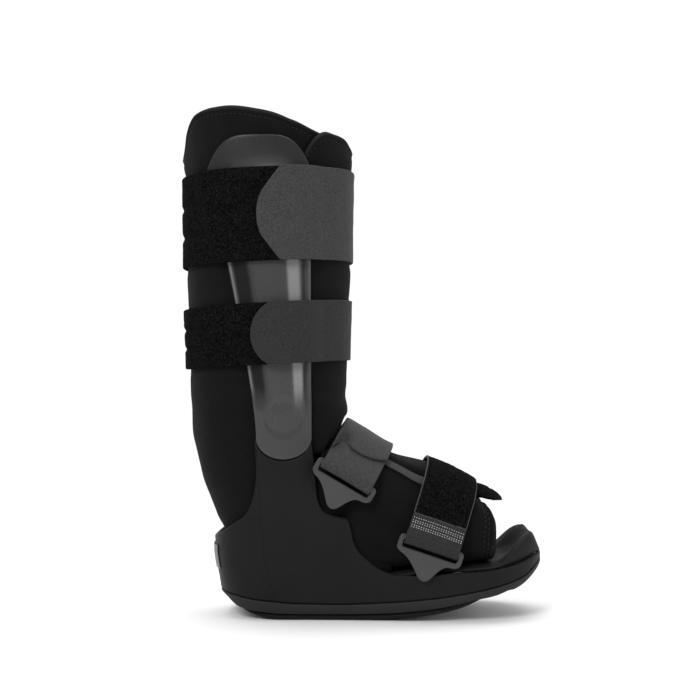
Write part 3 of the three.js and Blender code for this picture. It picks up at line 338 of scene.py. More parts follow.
def two_skins(name, outer, inner, flat, closed=False, trim=None):
    """A closed body between two skins, grids of one size. Whole numbers in trim pick materials; the
    mesh keeps trim as an attribute."""
    nu, nv = outer.shape[:2]
    ids = np.arange(nu * nv).reshape(nu, nv).tolist()
    shift = nu * nv
    faces = []
    for i in range(nu if closed else nu - 1):
        k = (i + 1) % nu
        for j in range(nv - 1):
            quad = (ids[i][j], ids[k][j], ids[k][j + 1], ids[i][j + 1])
            faces.append(quad)
            faces.append(tuple(at + shift for at in reversed(quad)))
        for j in (0, nv - 1):
            faces.append((ids[i][j], ids[i][j] + shift, ids[k][j] + shift, ids[k][j]))
    if not closed:
        for i in (0, nu - 1):
            for j in range(nv - 1):
                faces.append((ids[i][j], ids[i][j + 1], ids[i][j + 1] + shift, ids[i][j] + shift))
    verts = np.concatenate([outer.reshape(-1, 3), inner.reshape(-1, 3)])
    mesh = mesh_from(name, verts, faces, np.concatenate([flat.reshape(-1, 2)] * 2) / UV_LENGTH)
    if trim is not None:
        marks = np.tile(trim.ravel().astype(float), 2)
        mesh.attributes.new("trim", "FLOAT", "POINT").data.foreach_set("value", marks)
    cleaned(mesh, 2e-6)
    if trim is not None and trim.dtype.kind != "f":
        marks = np.empty(len(mesh.vertices))
        mesh.attributes["trim"].data.foreach_get("value", marks)
        for polygon in mesh.polygons:
            polygon.material_index = int(round(marks[list(polygon.vertices)].mean()))
    return mesh


def run_length(grid, axis):
    steps = np.linalg.norm(np.diff(grid, axis=axis), axis=-1)
    start = np.zeros_like(np.take(steps, [0], axis=axis))
    return np.cumsum(np.concatenate([start, steps], axis=axis), axis=axis)


def wall(name, grid, half, around="z", relief=None, ends=(1, 1, 1, 1), closed=False, trim=None, normal=None):
    """A padded wall about a grid of points, with rounded edges; ends says which of the four edges are round.

    Returns its mesh and a dict of its outer skin, normals and distances from the four edges."""
    normal = grid_normals(grid, around, closed) if normal is None else normal
    u, v = run_length(grid, 0), run_length(grid, 1)
    info = {"u0": u, "u1": u[-1:] - u, "v0": v, "v1": v[:, -1:] - v, "grid": grid, "normal": normal}
    far = np.full(u.shape, 1e6)
    for key, on in zip(("u0", "u1", "v0", "v1"), ends):
        if on:
            far = np.minimum(far, info[key])
    inward = np.clip(1 - far / half, 0, 1)
    share = np.sqrt(np.clip(1 - inward * inward, 0, 1))[..., None]
    lift = relief(info)[..., None] if relief else 0
    info["outer"] = grid + normal * (half + lift) * share
    mesh = two_skins(name, info["outer"], grid - normal * share * half, np.stack([u, v], axis=-1), closed,
                     trim(info) if trim else None)
    return mesh, info


def seam_stitches(name, info, edge, inset, low=0.0, high=1.0, slot="liner", **thread):
    """Stitches on a wall's outer skin at an inset from one edge, between two shares of its length."""
    skin, normal, measure = info["outer"], info["normal"], info[edge]
    if edge[0] == "u":
        skin, normal, measure = (np.swapaxes(part, 0, 1) for part in (skin, normal, measure))
    path, outward = [], []
    for row in range(int(low * (len(skin) - 1)), int(high * (len(skin) - 1)) + 1):
        order = np.argsort(measure[row])
        for line, source in ((path, skin), (outward, normal)):
            line.append([np.interp(inset, measure[row][order], source[row][order, k]) for k in range(3)])
    stitches(name, path, outward, THREAD, slot, **thread)


def ring_grid(name, rings):
    """A closed body through stacked rings, mirrored about Y = 0, capped with strips across."""
    rings = np.asarray(rings)
    levels, count = rings.shape[:2]
    faces = []
    for low in range(0, (levels - 1) * count, count):
        for j in range(count):
            k = (j + 1) % count
            faces.append((low + j, low + k, low + count + k, low + count + j))
    for start in (0, (levels - 1) * count):
        for j in range(count // 2):
            strip = [start + j, start + j + 1, start + count - j - 1, start + (count - j) % count]
            faces.append(tuple(dict.fromkeys(strip)))
    verts = rings.reshape(-1, 3)
    return cleaned(mesh_from(name, verts, faces, verts[:, :2] / UV_LENGTH))


def between_rings(rings, count):
    """Smoothly adds rings between a few given ones."""
    rings = np.asarray(rings)
    places = np.linspace(0, len(rings) - 1, count)
    low = np.clip(places.astype(int), 0, len(rings) - 2)
    share = (places - low)[:, None, None]
    before, after = rings[np.maximum(low - 1, 0)], rings[np.minimum(low + 2, len(rings) - 1)]
    a, b = rings[low], rings[low + 1]
    return 0.5 * (2 * a + (b - before) * share + (2 * before - 5 * a + 4 * b - after) * share ** 2
                  + (3 * a - before - 3 * b + after) * share ** 3)


def resample(path, count, metric=None):
    """A polyline's points at even distances, or at shares of its length, measured along metric if given."""
    path = np.asarray(path, float)
    measured = path if metric is None else metric
    steps = np.concatenate([[0], np.cumsum(np.linalg.norm(np.diff(measured, axis=0), axis=1))])
    wanted = np.linspace(0, steps[-1], count) if np.isscalar(count) else np.asarray(count) * steps[-1]
    return np.stack([np.interp(wanted, steps, path[:, k]) for k in range(path.shape[1])], axis=-1)


def rounded(path, passes=2):
    """Cuts a polyline's corners, keeping its ends."""
    path = np.asarray(path, float)
    for _ in range(passes):
        near = path[:-1] * 0.75 + path[1:] * 0.25
        far = path[:-1] * 0.25 + path[1:] * 0.75
        path = np.concatenate([path[:1], np.stack([near, far], axis=1).reshape(-1, path.shape[1]), path[-1:]])
    return path


def eased(grid, free, passes):
    """Evens out a grid of points where free is 1, keeping its edges."""
    for _ in range(passes):
        soft = grid.copy()
        soft[:, 1:-1] = (grid[:, :-2] + 2 * grid[:, 1:-1] + grid[:, 2:]) / 4
        soft[1:-1] = (soft[:-2] + 2 * soft[1:-1] + soft[2:]) / 4
        grid = mix(grid, soft, free[..., None])
    return grid


def ripple(grid, size, height, seed):
    """Soft unevenness of a surface, from smooth noise over its points."""
    flat = grid.reshape(-1, 3) / size + seed
    return np.array([noise.noise(Vector(p)) for p in flat]).reshape(grid.shape[:-1]) * height


STITCH_PROFILE = ((-1, 0.3), (-0.8, 0.8), (-0.3, 1), (0.3, 1), (0.8, 0.8), (1, 0.3))


def stitches(name, path, outward, material, slot, length=2.6, gap=1.5, radius=0.32, sink=0.1):
    """A row of stitches along a path, each a small rounded thread end to end, lying on the surface."""
    path = np.asarray(path, float)
    total = np.linalg.norm(np.diff(path, axis=0), axis=1).sum()
    count = max(int(total / (length + gap)), 1)
    shares = (np.arange(count) + 0.5) / count
    span = length / total / 2
    halves = (resample(path, shares + span) - resample(path, shares - span)) / 2
    levels, sides = len(STITCH_PROFILE), 6
    verts, faces = [], []
    for centre, along, normal in zip(resample(path, shares), halves, resample(outward, shares)):
        normal = normal / np.linalg.norm(normal)
        across = np.cross(along, normal)
        across /= max(np.linalg.norm(across), 1e-9)
        base = len(verts)
        for at, size in STITCH_PROFILE:
            middle = centre + along * at - normal * (sink + 0.28 * radius * at * at)
            for turn in np.arange(sides) * math.tau / sides:
                verts.append(middle + (across * math.cos(turn) + normal * math.sin(turn)) * radius * size)
        for low in range(base, base + (levels - 1) * sides, sides):
            for k in range(sides):
                j = (k + 1) % sides
                faces.append((low + k, low + j, low + sides + j, low + sides + k))
        faces.append(tuple(range(base, base + sides)))
        faces.append(tuple(reversed(range(len(verts) - sides, len(verts)))))
    link(cleaned(mesh_from(name, verts, faces)), material)


# Materials


class Nodes:
    """A short way to write a material's nodes."""

    def __init__(self, name):
        self.material = bpy.data.materials.new(name)
        self.material.use_nodes = True
        self.tree = self.material.node_tree
        self.place = self.add("ShaderNodeTexCoord").outputs["Object"]

    def add(self, kind, inputs=None, **settings):
        node = self.tree.nodes.new(kind)
        for key, value in settings.items():
            setattr(node, key, value)
        for key, value in (inputs or {}).items():
            self.put(node.inputs[key], value)
        return node

    def put(self, socket, value):
        if isinstance(value, bpy.types.NodeSocket):
            self.tree.links.new(value, socket)
        else:
            socket.default_value = value

    def math(self, operation, *values):
        node = self.add("ShaderNodeMath", operation=operation)
        for socket, value in zip(node.inputs, values):
            self.put(socket, value)
        return node.outputs[0]

    def noise(self, scale, detail=3.0, rough=0.55):
        inputs = {"Scale": scale, "Detail": detail, "Roughness": rough, "Vector": self.place}
        return self.add("ShaderNodeTexNoise", inputs).outputs["Fac"]

    def ramp(self, fac, *stops):
        node = self.add("ShaderNodeValToRGB", {"Fac": fac})
        elements = node.color_ramp.elements
        while len(elements) < len(stops):
            elements.new(0.5)
        for element, (at, color) in zip(elements, stops):
            element.position = at
            element.color = (*color, 1)
        return node.outputs["Color"]

    def bump(self, height, strength, distance, after=None):
        inputs = {"Height": height, "Strength": strength, "Distance": distance}
        if after is not None:
            inputs["Normal"] = after
        return self.add("ShaderNodeBump", inputs).outputs["Normal"]

    def threads(self, *pitches):
        """Waves from 0 to 1 along the cloth's two directions, with periods in millimetres."""
        uv = self.add("ShaderNodeUVMap", uv_map="cloth").outputs["UV"]
        axes = self.add("ShaderNodeSeparateXYZ", {"Vector": uv}).outputs
        waves = []
        for axis, pitch in zip(axes, pitches):
            turns = self.math("MULTIPLY", axis, math.tau * UV_LENGTH / pitch)
            waves.append(self.math("MULTIPLY_ADD", self.math("SINE", turns), 0.5, 0.5))
        return waves

    def finish(self, color, roughness, normal=None, sheen=0.0, specular=0.5):
        values = {"Base Color": color, "Roughness": roughness, "Sheen Weight": sheen, "Sheen Roughness": 0.6,
                  "Specular IOR Level": specular}
        if normal is not None:
            values["Normal"] = normal
        for key, value in values.items():
            self.put(self.tree.nodes["Principled BSDF"].inputs[key], value)
        return self.material


def grey(value):
    return (value, value, value * 1.03)


def knit_material(name, base, pitch=0.9):
    """Fine knitted face of a padded fabric: small loops in rows, slightly uneven in tone."""
    n = Nodes(name)
    loops = n.math("MULTIPLY", *n.threads(pitch, pitch * 1.3))
    patches = n.noise(55.0, 4.0)
    tone = n.math("MULTIPLY_ADD", loops, 0.35, n.math("MULTIPLY", patches, 0.65))
    color = n.ramp(tone, (0.2, grey(base * 0.6)), (0.8, grey(base * 1.5)))
    fine = n.bump(n.noise(2600.0, 2.0), 0.35, 0.0003)
    normal = n.bump(loops, 0.55, 0.0003, fine)
    rough = n.math("MULTIPLY_ADD", patches, 0.15, 0.82)
    return n.finish(color, rough, normal, sheen=0.02, specular=0.07)


def pile_material(name, base):
    """Brushed loop pile: a mat of tiny curls with lighter flecks."""
    n = Nodes(name)
    cells = n.add("ShaderNodeTexVoronoi", {"Scale": 1500.0, "Randomness": 1.0, "Vector": n.place})
    curls = cells.outputs["Distance"]
    clumps = n.noise(640.0, 4.0, 0.65)
    tufts = n.noise(120.0, 3.0, 0.6)
    tone = n.math("MULTIPLY_ADD", curls, 0.35, n.math("MULTIPLY", clumps, 0.7))
    color = n.ramp(tone, (0.3, grey(base * 0.3)), (0.5, grey(base)), (0.68, grey(base * 7)))
    normal = n.bump(tufts, 0.4, 0.0012)
    normal = n.bump(clumps, 0.9, 0.0011, normal)
    normal = n.bump(curls, 0.7, 0.0005, normal)
    return n.finish(color, 0.95, normal, specular=0.02)


def webbing_material(name, base, pitch=1.05):
    """Woven tape: close ribs across the strap with a finer thread along it."""
    n = Nodes(name)
    ribs, threads = n.threads(pitch, pitch * 0.8)
    weave = n.math("MULTIPLY_ADD", n.math("MULTIPLY", ribs, threads), 0.6, n.math("MULTIPLY", ribs, 0.4))
    grain = n.noise(850.0, 3.0, 0.6)
    tone = n.math("MULTIPLY_ADD", weave, 0.1, n.math("MULTIPLY", grain, 0.9))
    color = n.ramp(tone, (0.36, grey(base * 0.66)), (0.64, grey(base * 1.4)))
    normal = n.bump(n.noise(70.0, 3.0), 0.25, 0.0015)
    normal = n.bump(grain, 0.3, 0.0003, normal)
    normal = n.bump(weave, 0.15, 0.0003, normal)
    return n.finish(color, 0.8, normal, sheen=0.02, specular=0.2)


def plastic_material(name, base, roughness, grain, grain_height, variation=0.25, specular=0.5):
    """Moulded plastic: fine grain, slight tone changes and soft rubbed places."""
    n = Nodes(name)
    cloud = n.noise(18.0, 5.0, 0.6)
    speck = n.noise(grain, 3.0, 0.6)
    tone = n.math("MULTIPLY_ADD", speck, 0.3, n.math("MULTIPLY", cloud, 0.7))
    color = n.ramp(tone, (0.25, grey(base * (1 - variation))), (0.75, grey(base * (1 + variation))))
    rubbed = n.ramp(n.noise(42.0, 6.0, 0.7), (0.5, (0, 0, 0)), (0.75, (1, 1, 1)))
    rough = n.math("MULTIPLY_ADD", rubbed, 0.1, n.math("MULTIPLY_ADD", speck, 0.12, roughness - 0.06))
    normal = n.bump(speck, 0.35, grain_height)
    return n.finish(color, rough, normal, specular=specular)


def painted_light_gloss_material(name, base, roughness):
    """Glossy plastic: painted highlights on the ribs and painted shade in the hollows, after the mesh's trim
    values.
    """
    n = Nodes(name)
    painted_light = n.add("ShaderNodeAttribute", attribute_name="trim").outputs["Fac"]
    cloud = n.noise(26.0, 5.0, 0.6)
    streaks = n.noise(9.0, 6.0, 0.7)
    uneven = n.math("MULTIPLY_ADD", cloud, 0.1, n.math("MULTIPLY_ADD", streaks, 0.06, -0.08))
    # painted light: the trim value lifts the colour to painted highlights and drops it to painted shade
    color = n.ramp(n.math("ADD", painted_light, uneven), (0.05, grey(base * 0.3)), (0.4, grey(base * 0.85)),
                   (0.6, grey(base * 1.15)), (1.0, grey(base * 4.2)))
    rough = n.math("MULTIPLY_ADD", cloud, 0.16, roughness - 0.06)
    normal = n.bump(n.noise(60.0, 3.0), 0.2, 0.001)
    return n.finish(color, rough, normal, specular=n.math("MULTIPLY_ADD", painted_light, 0.45, 0.04))


LINER = knit_material("liner_knit", 0.004)
LINER_EDGE = knit_material("liner_binding", 0.009, pitch=0.7)
PILE = pile_material("strap_pile", 0.0018)
TAB = webbing_material("tab_webbing", 0.032)
TAB_DARK = webbing_material("tab_webbing_dark", 0.017)
EDGE_TAPE = webbing_material("edge_tape", 0.04, pitch=0.7)
SHELL_PLASTIC = plastic_material("shell_plastic", 0.0075, 0.5, 700.0, 0.0002, specular=0.11)
SOLE_PLASTIC = plastic_material("sole_plastic", 0.017, 0.55, 600.0, 0.0003, specular=0.15)
# the strut's colour carries painted highlights and painted shade from the mesh's trim values
STRUT_PLASTIC = painted_light_gloss_material("strut_plastic", 0.04, 0.27)
LOOP_PLASTIC = plastic_material("loop_plastic", 0.024, 0.36, 900.0, 0.00012)
TREAD_RUBBER = plastic_material("tread_rubber", 0.009, 0.8, 500.0, 0.0004, specular=0.12)
FOOTBED_FOAM = plastic_material("footbed_foam", 0.008, 0.62, 800.0, 0.0002, specular=0.12)
LABEL_FACE = plastic_material("label_face", 0.16, 0.55, 1200.0, 0.00005, variation=0.06, specular=0.2)
THREAD = webbing_material("stitch_thread", 0.018, pitch=0.5)
PALE_THREAD = webbing_material("stitch_thread_pale", 0.4, pitch=0.5)


# Camera and light

SCENE = bpy.context.scene
EYE = (-0.0098, -1.05, 0.2056)


def make_camera():
    data = bpy.data.cameras.new("camera")
    data.lens, data.sensor_width, data.shift_y = 63.5, 36.0, 19 / 700
    data.clip_start, data.clip_end = 0.05, 50.0
    camera = bpy.data.objects.new("camera", data)
    camera.location = EYE
    camera.rotation_euler = (math.pi / 2, 0, 0)
    SCENE.collection.objects.link(camera)
    SCENE.camera = camera


def area_light(name, place, target, size, power):
    data = bpy.data.lights.new(name, "AREA")
    data.shape, data.size, data.size_y, data.energy = "RECTANGLE", size[0], size[1], power
    light = bpy.data.objects.new(name, data)
    light.location = place
    light.rotation_euler = (Vector(target) - Vector(place)).to_track_quat("-Z", "Y").to_euler()
    SCENE.collection.objects.link(light)


def make_studio():
    world = bpy.data.worlds.new("studio")
    world.use_nodes = True
    tree = world.node_tree
    place = tree.nodes.new("ShaderNodeTexCoord")
    axes = tree.nodes.new("ShaderNodeSeparateXYZ")
    reach = tree.nodes.new("ShaderNodeMapRange")
    reach.interpolation_type = "SMOOTHSTEP"
    for key, value in (("From Min", -0.75), ("From Max", 0.1), ("To Min", 0.26), ("To Max", 1.03)):
        reach.inputs[key].default_value = value
    tree.links.new(place.outputs["Generated"], axes.inputs["Vector"])
    tree.links.new(axes.outputs["Y"], reach.inputs["Value"])
    tree.links.new(reach.outputs["Result"], tree.nodes["Background"].inputs["Strength"])
    tree.nodes["Background"].inputs["Color"].default_value = (1, 1, 1, 1)
    SCENE.world = world
    area_light("key", (-0.75, -1.5, 1.35), (-0.05, 0, 0.2), (0.7, 0.7), 26)
    area_light("fill", (1.5, -0.9, 0.7), (0, 0, 0.15), (0.5, 1.0), 7)
    area_light("top", (0, 0.35, 1.7), (0, 0.1, 0.05), (1.6, 1.2), 17)
    far, behind = 4000, 450
    corners = [(-far, -far, 0), (far, -far, 0), (far, behind, 0), (-far, behind, 0)]
    mesh = mesh_from("floor", corners, [(0, 1, 2, 3)])
    floor = bpy.data.objects.new("floor", mesh)
    SCENE.collection.objects.link(floor)
    n = Nodes("floor_paper")
    tone = n.ramp(n.noise(4.0, 2.0), (0.3, (0.81, 0.81, 0.81)), (0.7, (0.83, 0.83, 0.83)))
    floor.data.materials.append(n.finish(tone, 0.9, specular=0.1))
    SCENE.view_settings.view_transform = "Standard"


# Calf sleeve

FLAP_ANGLE, TUCK_ANGLE, FLAP_CORNER_ANGLE = 65.0, 38.0, 22.0
SLEEVE_TURN = 360 + FLAP_ANGLE - TUCK_ANGLE
SLEEVE_BOTTOM = 0.7 * FOOTBED_HEIGHT + 1.5
HEM_FRONT = CALF_X + 0.46 * CALF_DEPTH
SIDE_DIP, HEM_DROP = 11.5, 10.0
SLEEVE_BINDING, RIM_SEAM, FLAP_SEAM = 4.6, 7.0, 5.5
STRAPS = {
    "upper": {"height": 330.0, "width": 75.5, "tilt": 2.4, "tab_end": 93.0, "tab_round": 10.5},
    "lower": {"height": 234.0, "width": 50.0, "tilt": 3.4, "tab_end": 96.0, "tab_round": 7.5},
}


def sleeve_top(turned):
    at = leg_point(FLAP_ANGLE - turned, 0.93 * SLEEVE_HEIGHT, 0)
    middle, depth, half = leg_outline(0.93 * SLEEVE_HEIGHT)
    rim = SLEEVE_HEIGHT * column(SLEEVE_RIM, "up", (at[..., 0] - middle + depth) / (2 * depth))
    rim = rim - SIDE_DIP * np.abs(at[..., 1]) / half
    return rim - FLAP_CORNER * np.clip(1 - turned / FLAP_CORNER_ANGLE, 0, 1) ** 2


def sleeve_low(angle):
    x = leg_point(angle, SLEEVE_HEM + 8, -SLEEVE_WALL / 2)[..., 0]
    hem = SLEEVE_HEM - HEM_DROP * (1 - smooth(x, HEM_FRONT - 22, HEM_FRONT - 14))
    hem = hem + HEM_RISE * smooth(x, HEM_FRONT - 11, HEM_FRONT - 3.5)
    return mix(SLEEVE_BOTTOM, hem, smooth(x, FOOT_START_X - 2, FOOT_START_X + 2))


def sleeve_grid(U, V):
    turned = U * SLEEVE_TURN
    angle = FLAP_ANGLE - turned
    z = mix(sleeve_low(angle), sleeve_top(turned), V)
    tucked = smooth(-angle, 268, 288)
    grid = leg_point(angle, z, -SLEEVE_WALL / 2 - tucked * (SLEEVE_WALL + CLEARANCE))
    x, y = grid[..., 0], grid[..., 1]
    limit = np.maximum(shell_half(x, z, SHELL_WALL) - NEST_GAP - SLEEVE_WALL / 2, NEST_GAP)
    rim = heel_rim_z(x) + NEST_GAP
    grid[..., 1] = mix(np.clip(y, -limit, limit), y, smooth(z, rim, rim + 10))
    return grid


def clear_of_straps(grid):
    """1 where the sleeve is free to move, 0 under the calf straps and the uprights."""
    x, y, z = grid[..., 0], grid[..., 1], grid[..., 2]
    free = np.ones(x.shape)
    for strap in STRAPS.values():
        height = strap["height"] + math.tan(math.radians(strap["tilt"])) * (x - CALF_X)
        free *= smooth(np.abs(z - height), strap["width"] / 2 + 1, strap["width"] / 2 + 9)
    back = strut_back(z)
    inside = between(x, back - 6, back - 1, UPRIGHT_FRONT + 1, UPRIGHT_FRONT + 6)
    return free * (1 - inside * smooth(np.abs(y), 25, 35))


def sleeve_relief(info):
    grid = info["grid"]
    x, y, z = grid[..., 0], grid[..., 1], grid[..., 2]
    seams = -0.8 * bump(info["v1"], RIM_SEAM, 1.0) - 0.8 * bump(info["u0"], FLAP_SEAM, 1.0)
    seams += 0.5 * bump(info["v1"], 3.3, 2)
    folds = 0.8 * np.sin(z / 4.3 + x / 23) * bump(z, 176, 17) * smooth(x, -60, -30)
    folds += 0.7 * np.sin(z / 7.5 + y / 19) * bump(z, 130, 34) * (1 - smooth(x, -120, -95))
    soft = ripple(grid, 42, 1.6, 3.1) + ripple(grid, 15, 0.5, 9.7)
    return seams + (soft + folds + 0.5) * clear_of_straps(grid)


def make_sleeve():
    U, V = mesh_grid(edge_shares(430, 4, 210), edge_shares(390, 4, 120))
    mesh, info = wall("calf_sleeve", sleeve_grid(U, V), SLEEVE_WALL / 2, relief=sleeve_relief,
                      trim=lambda info: np.minimum(info["u0"], info["v1"]) < SLEEVE_BINDING)
    sleeve = link(mesh, LINER)
    mesh.materials.append(LINER_EDGE)
    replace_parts(sleeve, "leg_liner")
    seam_stitches("sleeve_rim_stitches", info, "v1", RIM_SEAM, 0.02, 0.97)
    seam_stitches("sleeve_flap_stitches", info, "u0", FLAP_SEAM, 0.04, 0.93)


# Foot wrap, tongue and closure strip

FLAP_OVERLAP = 26.0
STRIP_SEAT = CLOTH_GAP + CLEARANCE
TOE_SEAMS, WRAP_FLAP_SEAM, STRIP_SEAM = (6.6, 9.9), 5.0, 1.4
TOE_BINDING, FLAP_BINDING = 4.4, 3.4


def wrap_grid(U, V):
    turned = U * (360 + FLAP_OVERLAP)
    guess = FOOT_START_X + V * FOOT_LENGTH
    from_ridge = np.abs((flap_edge(guess) + turned + 180) % 360 - 180)
    end = FOOT_START_X + column(TOE_EDGE, "on", from_ridge) * FOOT_LENGTH
    start = mix(UPRIGHT_FRONT + 8, FOOT_START_X, smooth(from_ridge, 44, 66))
    x = mix(start, end, V)
    tucked = smooth(turned, 344, 360)
    return foot_point(x, flap_edge(x) + turned, -FOOT_WALL / 2 - tucked * (FOOT_WALL + CLEARANCE))


def wrap_relief(info):
    grid = info["grid"]
    x, z = grid[..., 0], grid[..., 2]
    seams = 0.5 * bump(info["v1"], 3, 2) - 0.6 * bump(info["u0"], WRAP_FLAP_SEAM, 1.0)
    seams -= 0.8 * sum(bump(info["v1"], inset, 0.9) for inset in TOE_SEAMS)
    free = smooth(x, -5, 12) * (1 - smooth(z, 95, 112))
    soft = ripple(grid, 30, 1.8, 5.3) + ripple(grid, 11, 0.5, 1.9)
    folds = 0.9 * np.sin((x * 0.55 + z) / 6.0) * bump(z, 78, 15) * bump(x, 12, 16)
    return seams + (soft + folds) * free


def make_wrap():
    U, V = mesh_grid(edge_shares(320, 2.5, 200), edge_shares(165, 2.5, 90))
    grid = wrap_grid(U, V)
    grid = eased(grid, between(grid[..., 0], -34, -24, 25, 40), 10)
    mesh, info = wall("foot_wrap", grid, FOOT_WALL / 2, around="x", relief=wrap_relief,
                      trim=lambda info: (info["v1"] < TOE_BINDING) | (info["u0"] < FLAP_BINDING))
    wrap = link(mesh, LINER)
    mesh.materials.append(LINER_EDGE)
    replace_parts(wrap, "foot_liner")
    for index, inset in enumerate(TOE_SEAMS):
        seam_stitches(f"wrap_toe_stitches_{index + 1}", info, "v1", inset, 0.01, 0.97)
    seam_stitches("wrap_flap_stitches", info, "u0", WRAP_FLAP_SEAM, 0.45, 0.97)


TONGUE = {
    "on": [0, 0.52, 0.66, 0.723, 0.78, 0.838, 0.9, 0.953, 1],
    "depth": [1, 1, 0.95, 0.25, -0.6, -1.12, -1.45, -1.0, -0.25],
    "thick": [0.8, 0.8, 0.8, 1.1, 1.3, 1.25, 1.0, 0.65, 0.2],
    "half": [0.6, 0.7, 0.8, 0.88, 0.95, 0.96, 0.88, 0.7, 0.4],
}


def tongue_skin(U, V, face):
    start, end = FOOT_START_X + 0.48 * FOOT_LENGTH, FOOT_START_X + FOOT_LENGTH + TONGUE_REACH
    x = mix(start, end, U)
    share = 2 * V - 1
    depth = (FOOT_WALL + CLEARANCE) * column(TONGUE, "depth", U)
    half = TONGUE_WIDTH / 2 * column(TONGUE, "half", U)
    thick = TONGUE_THICKNESS * column(TONGUE, "thick", U)
    ridge = foot_point(x, 0, 0)[..., 2] - depth - CLOTH_GAP
    side = np.sqrt(np.clip(1 - share * share * 0.96, 0, 1))
    tip = np.sqrt(np.clip(1 - (np.clip(U - 0.965, 0, 1) / 0.035) ** 2, 0, 1))
    z = ridge - 0.18 * half * share * share - thick / 2 + face * thick * side * mix(0.15, 1, tip) / 2
    return points(x, -half * share * mix(0.9, 1, tip), z)


def make_tongue():
    U, V = mesh_grid(np.linspace(0, 1, 120), np.linspace(0, 1, 44))
    groove = bump(U, 0.9, 0.008)[..., None] * np.array([0, 0, -0.5])
    outer = tongue_skin(U, V, 1) + groove
    outer[..., 2] += ripple(outer, 9, 0.5, 4.4)
    mesh = two_skins("tongue_pad", outer, tongue_skin(U, V, -1), np.stack([U * 113, V * 50], axis=-1))
    tongue = link(mesh, PILE)
    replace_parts(tongue, "tongue")


def make_strip():
    U, V = mesh_grid(edge_shares(STRIP_LENGTH, 0.6, 110), edge_shares(9, 0.6, 14))
    x = FOOT_START_X + 0.32 * FOOT_LENGTH + U * STRIP_LENGTH
    grid = foot_point(x, flap_edge(x) + 1.5 + V * 10.5, STRIP_SEAT + STRIP_THICKNESS / 2)

    def relief(info):
        return -0.15 * (bump(info["v0"], STRIP_SEAM, 0.4) + bump(info["v1"], STRIP_SEAM, 0.4))

    mesh, info = wall("closure_strip", grid, STRIP_THICKNESS / 2, around="x", relief=relief)
    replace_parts(link(mesh, TAB), "flap_strip")
    for index, key in enumerate(("v0", "v1")):
        seam_stitches(f"strip_stitches_{index + 1}", info, key, STRIP_SEAM, slot="tab", length=2.0, gap=1.0,
                      radius=0.22)


# Calf straps


BAND_END = 78.0


def calf_strap(strap, V, angle, lift, off):
    """Middle surface of a calf strap at angles round the leg, raised by lift where it lies on the band."""
    flat = strap["height"] + (V - 0.5) * strap["width"]
    seat_x = leg_point(angle, flat, 0)[..., 0]
    z = flat + math.tan(math.radians(strap["tilt"])) * (seat_x - CALF_X)
    at = leg_point(angle, z, SHELL_WALL)[..., 0]
    raised = lift * (1 - smooth(seat_x, CALF_X + 26, CALF_X + 44))
    return leg_point(angle, z, strap_seat(at, z) + raised + off)


def pile_relief(info):
    """Fuzzy unevenness, soft edges, and the two shallow channels round the back."""
    grid = info["grid"]
    share = info["v0"] / (info["v0"] + info["v1"])
    behind = 1 - smooth(grid[..., 0], -140, -118)
    channels = bump(share, 0.34, 0.035) + bump(share, 0.65, 0.035)
    fuzz = ripple(grid, 3.2, 0.22, 2.2) + ripple(grid, 26, 0.5, 8.1)
    return fuzz - 1.3 * channels * behind + 0.35 * behind * (1 - channels)


def weave_relief(info):
    return ripple(info["grid"], 12, 0.35, 6.6)


def make_calf_strap(key, tab_material):
    strap, width = STRAPS[key], STRAPS[key]["width"]
    U, V = mesh_grid(edge_shares(350, 1.5, 250), edge_shares(width, 1.5, int(width / 1.5)))
    grid = calf_strap(strap, V, mix(BAND_END, 360 - BAND_END, U), 0, BAND_THICKNESS / 2)
    mesh, _ = wall(f"{key}_calf_band", grid, BAND_THICKNESS / 2, relief=pile_relief)
    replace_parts(link(mesh, PILE), f"{key}_strap_loop")
    U, V = mesh_grid(edge_shares(260, 1, 200), edge_shares(width, 1, int(width / 1.2)))
    end = strap["tab_end"] - strap["tab_round"] * np.abs(2 * V - 1) ** 2.1
    lift = BAND_THICKNESS + CLOTH_GAP + CLEARANCE
    grid = calf_strap(strap, V, mix(end, -BAND_END - 8, U), lift, TAB_THICKNESS / 2)
    mesh, _ = wall(f"{key}_calf_tab", grid, TAB_THICKNESS / 2, relief=weave_relief)
    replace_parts(link(mesh, tab_material), f"{key}_strap_tab")


# Strap loops


def make_loops_data():
    loops = {
        "instep": {"x": ANKLE_X + 49, "z": 0.768 * SHELL_HEIGHT, "turn": math.radians(30.6)},
        "forefoot": {"x": HEEL_X + 0.65 * SOLE_LENGTH, "z": 0.39 * SHELL_HEIGHT, "turn": math.radians(18.6)},
    }
    for loop in loops.values():
        loop["across"] = np.array([math.cos(loop["turn"]), 0, -math.sin(loop["turn"])])
        loop["upward"] = np.array([math.sin(loop["turn"]), 0, math.cos(loop["turn"])])
        down, along = mesh_grid(np.linspace(-LOOP_TAIL, LOOP_SLOT, 7),
                                np.linspace(-FOOT_STRAP_WIDTH / 2, FOOT_STRAP_WIDTH / 2, 7))
        x = loop["x"] + down * loop["upward"][0] + along * loop["across"][0]
        z = loop["z"] + down * loop["upward"][2] + along * loop["across"][2]
        reach = np.where(z < rim_z(x) + 1, shell_half(x, z, 0), 0).max()
        loop["y"] = reach + CLOTH_GAP + LOOP_THICKNESS / 2
    return loops


LOOPS = make_loops_data()


def beside_loop(loop, side, along, out, up):
    centre = np.array([loop["x"], 0, loop["z"]])
    along = np.asarray(along, float)
    point = centre + along[..., None] * loop["across"] + up * loop["upward"]
    point[..., 1] = -side * (loop["y"] + out)
    return point


def bezier(path, *controls):
    """Adds a Bezier curve with these control points to a flat outline."""
    points_in = [np.array(path[-1], float)] + [np.array(c, float) for c in controls]
    for t in np.linspace(0, 1, 9)[1:]:
        layer = points_in
        while len(layer) > 1:
            layer = [a * (1 - t) + b * t for a, b in zip(layer[:-1], layer[1:])]
        path.append(layer[0])


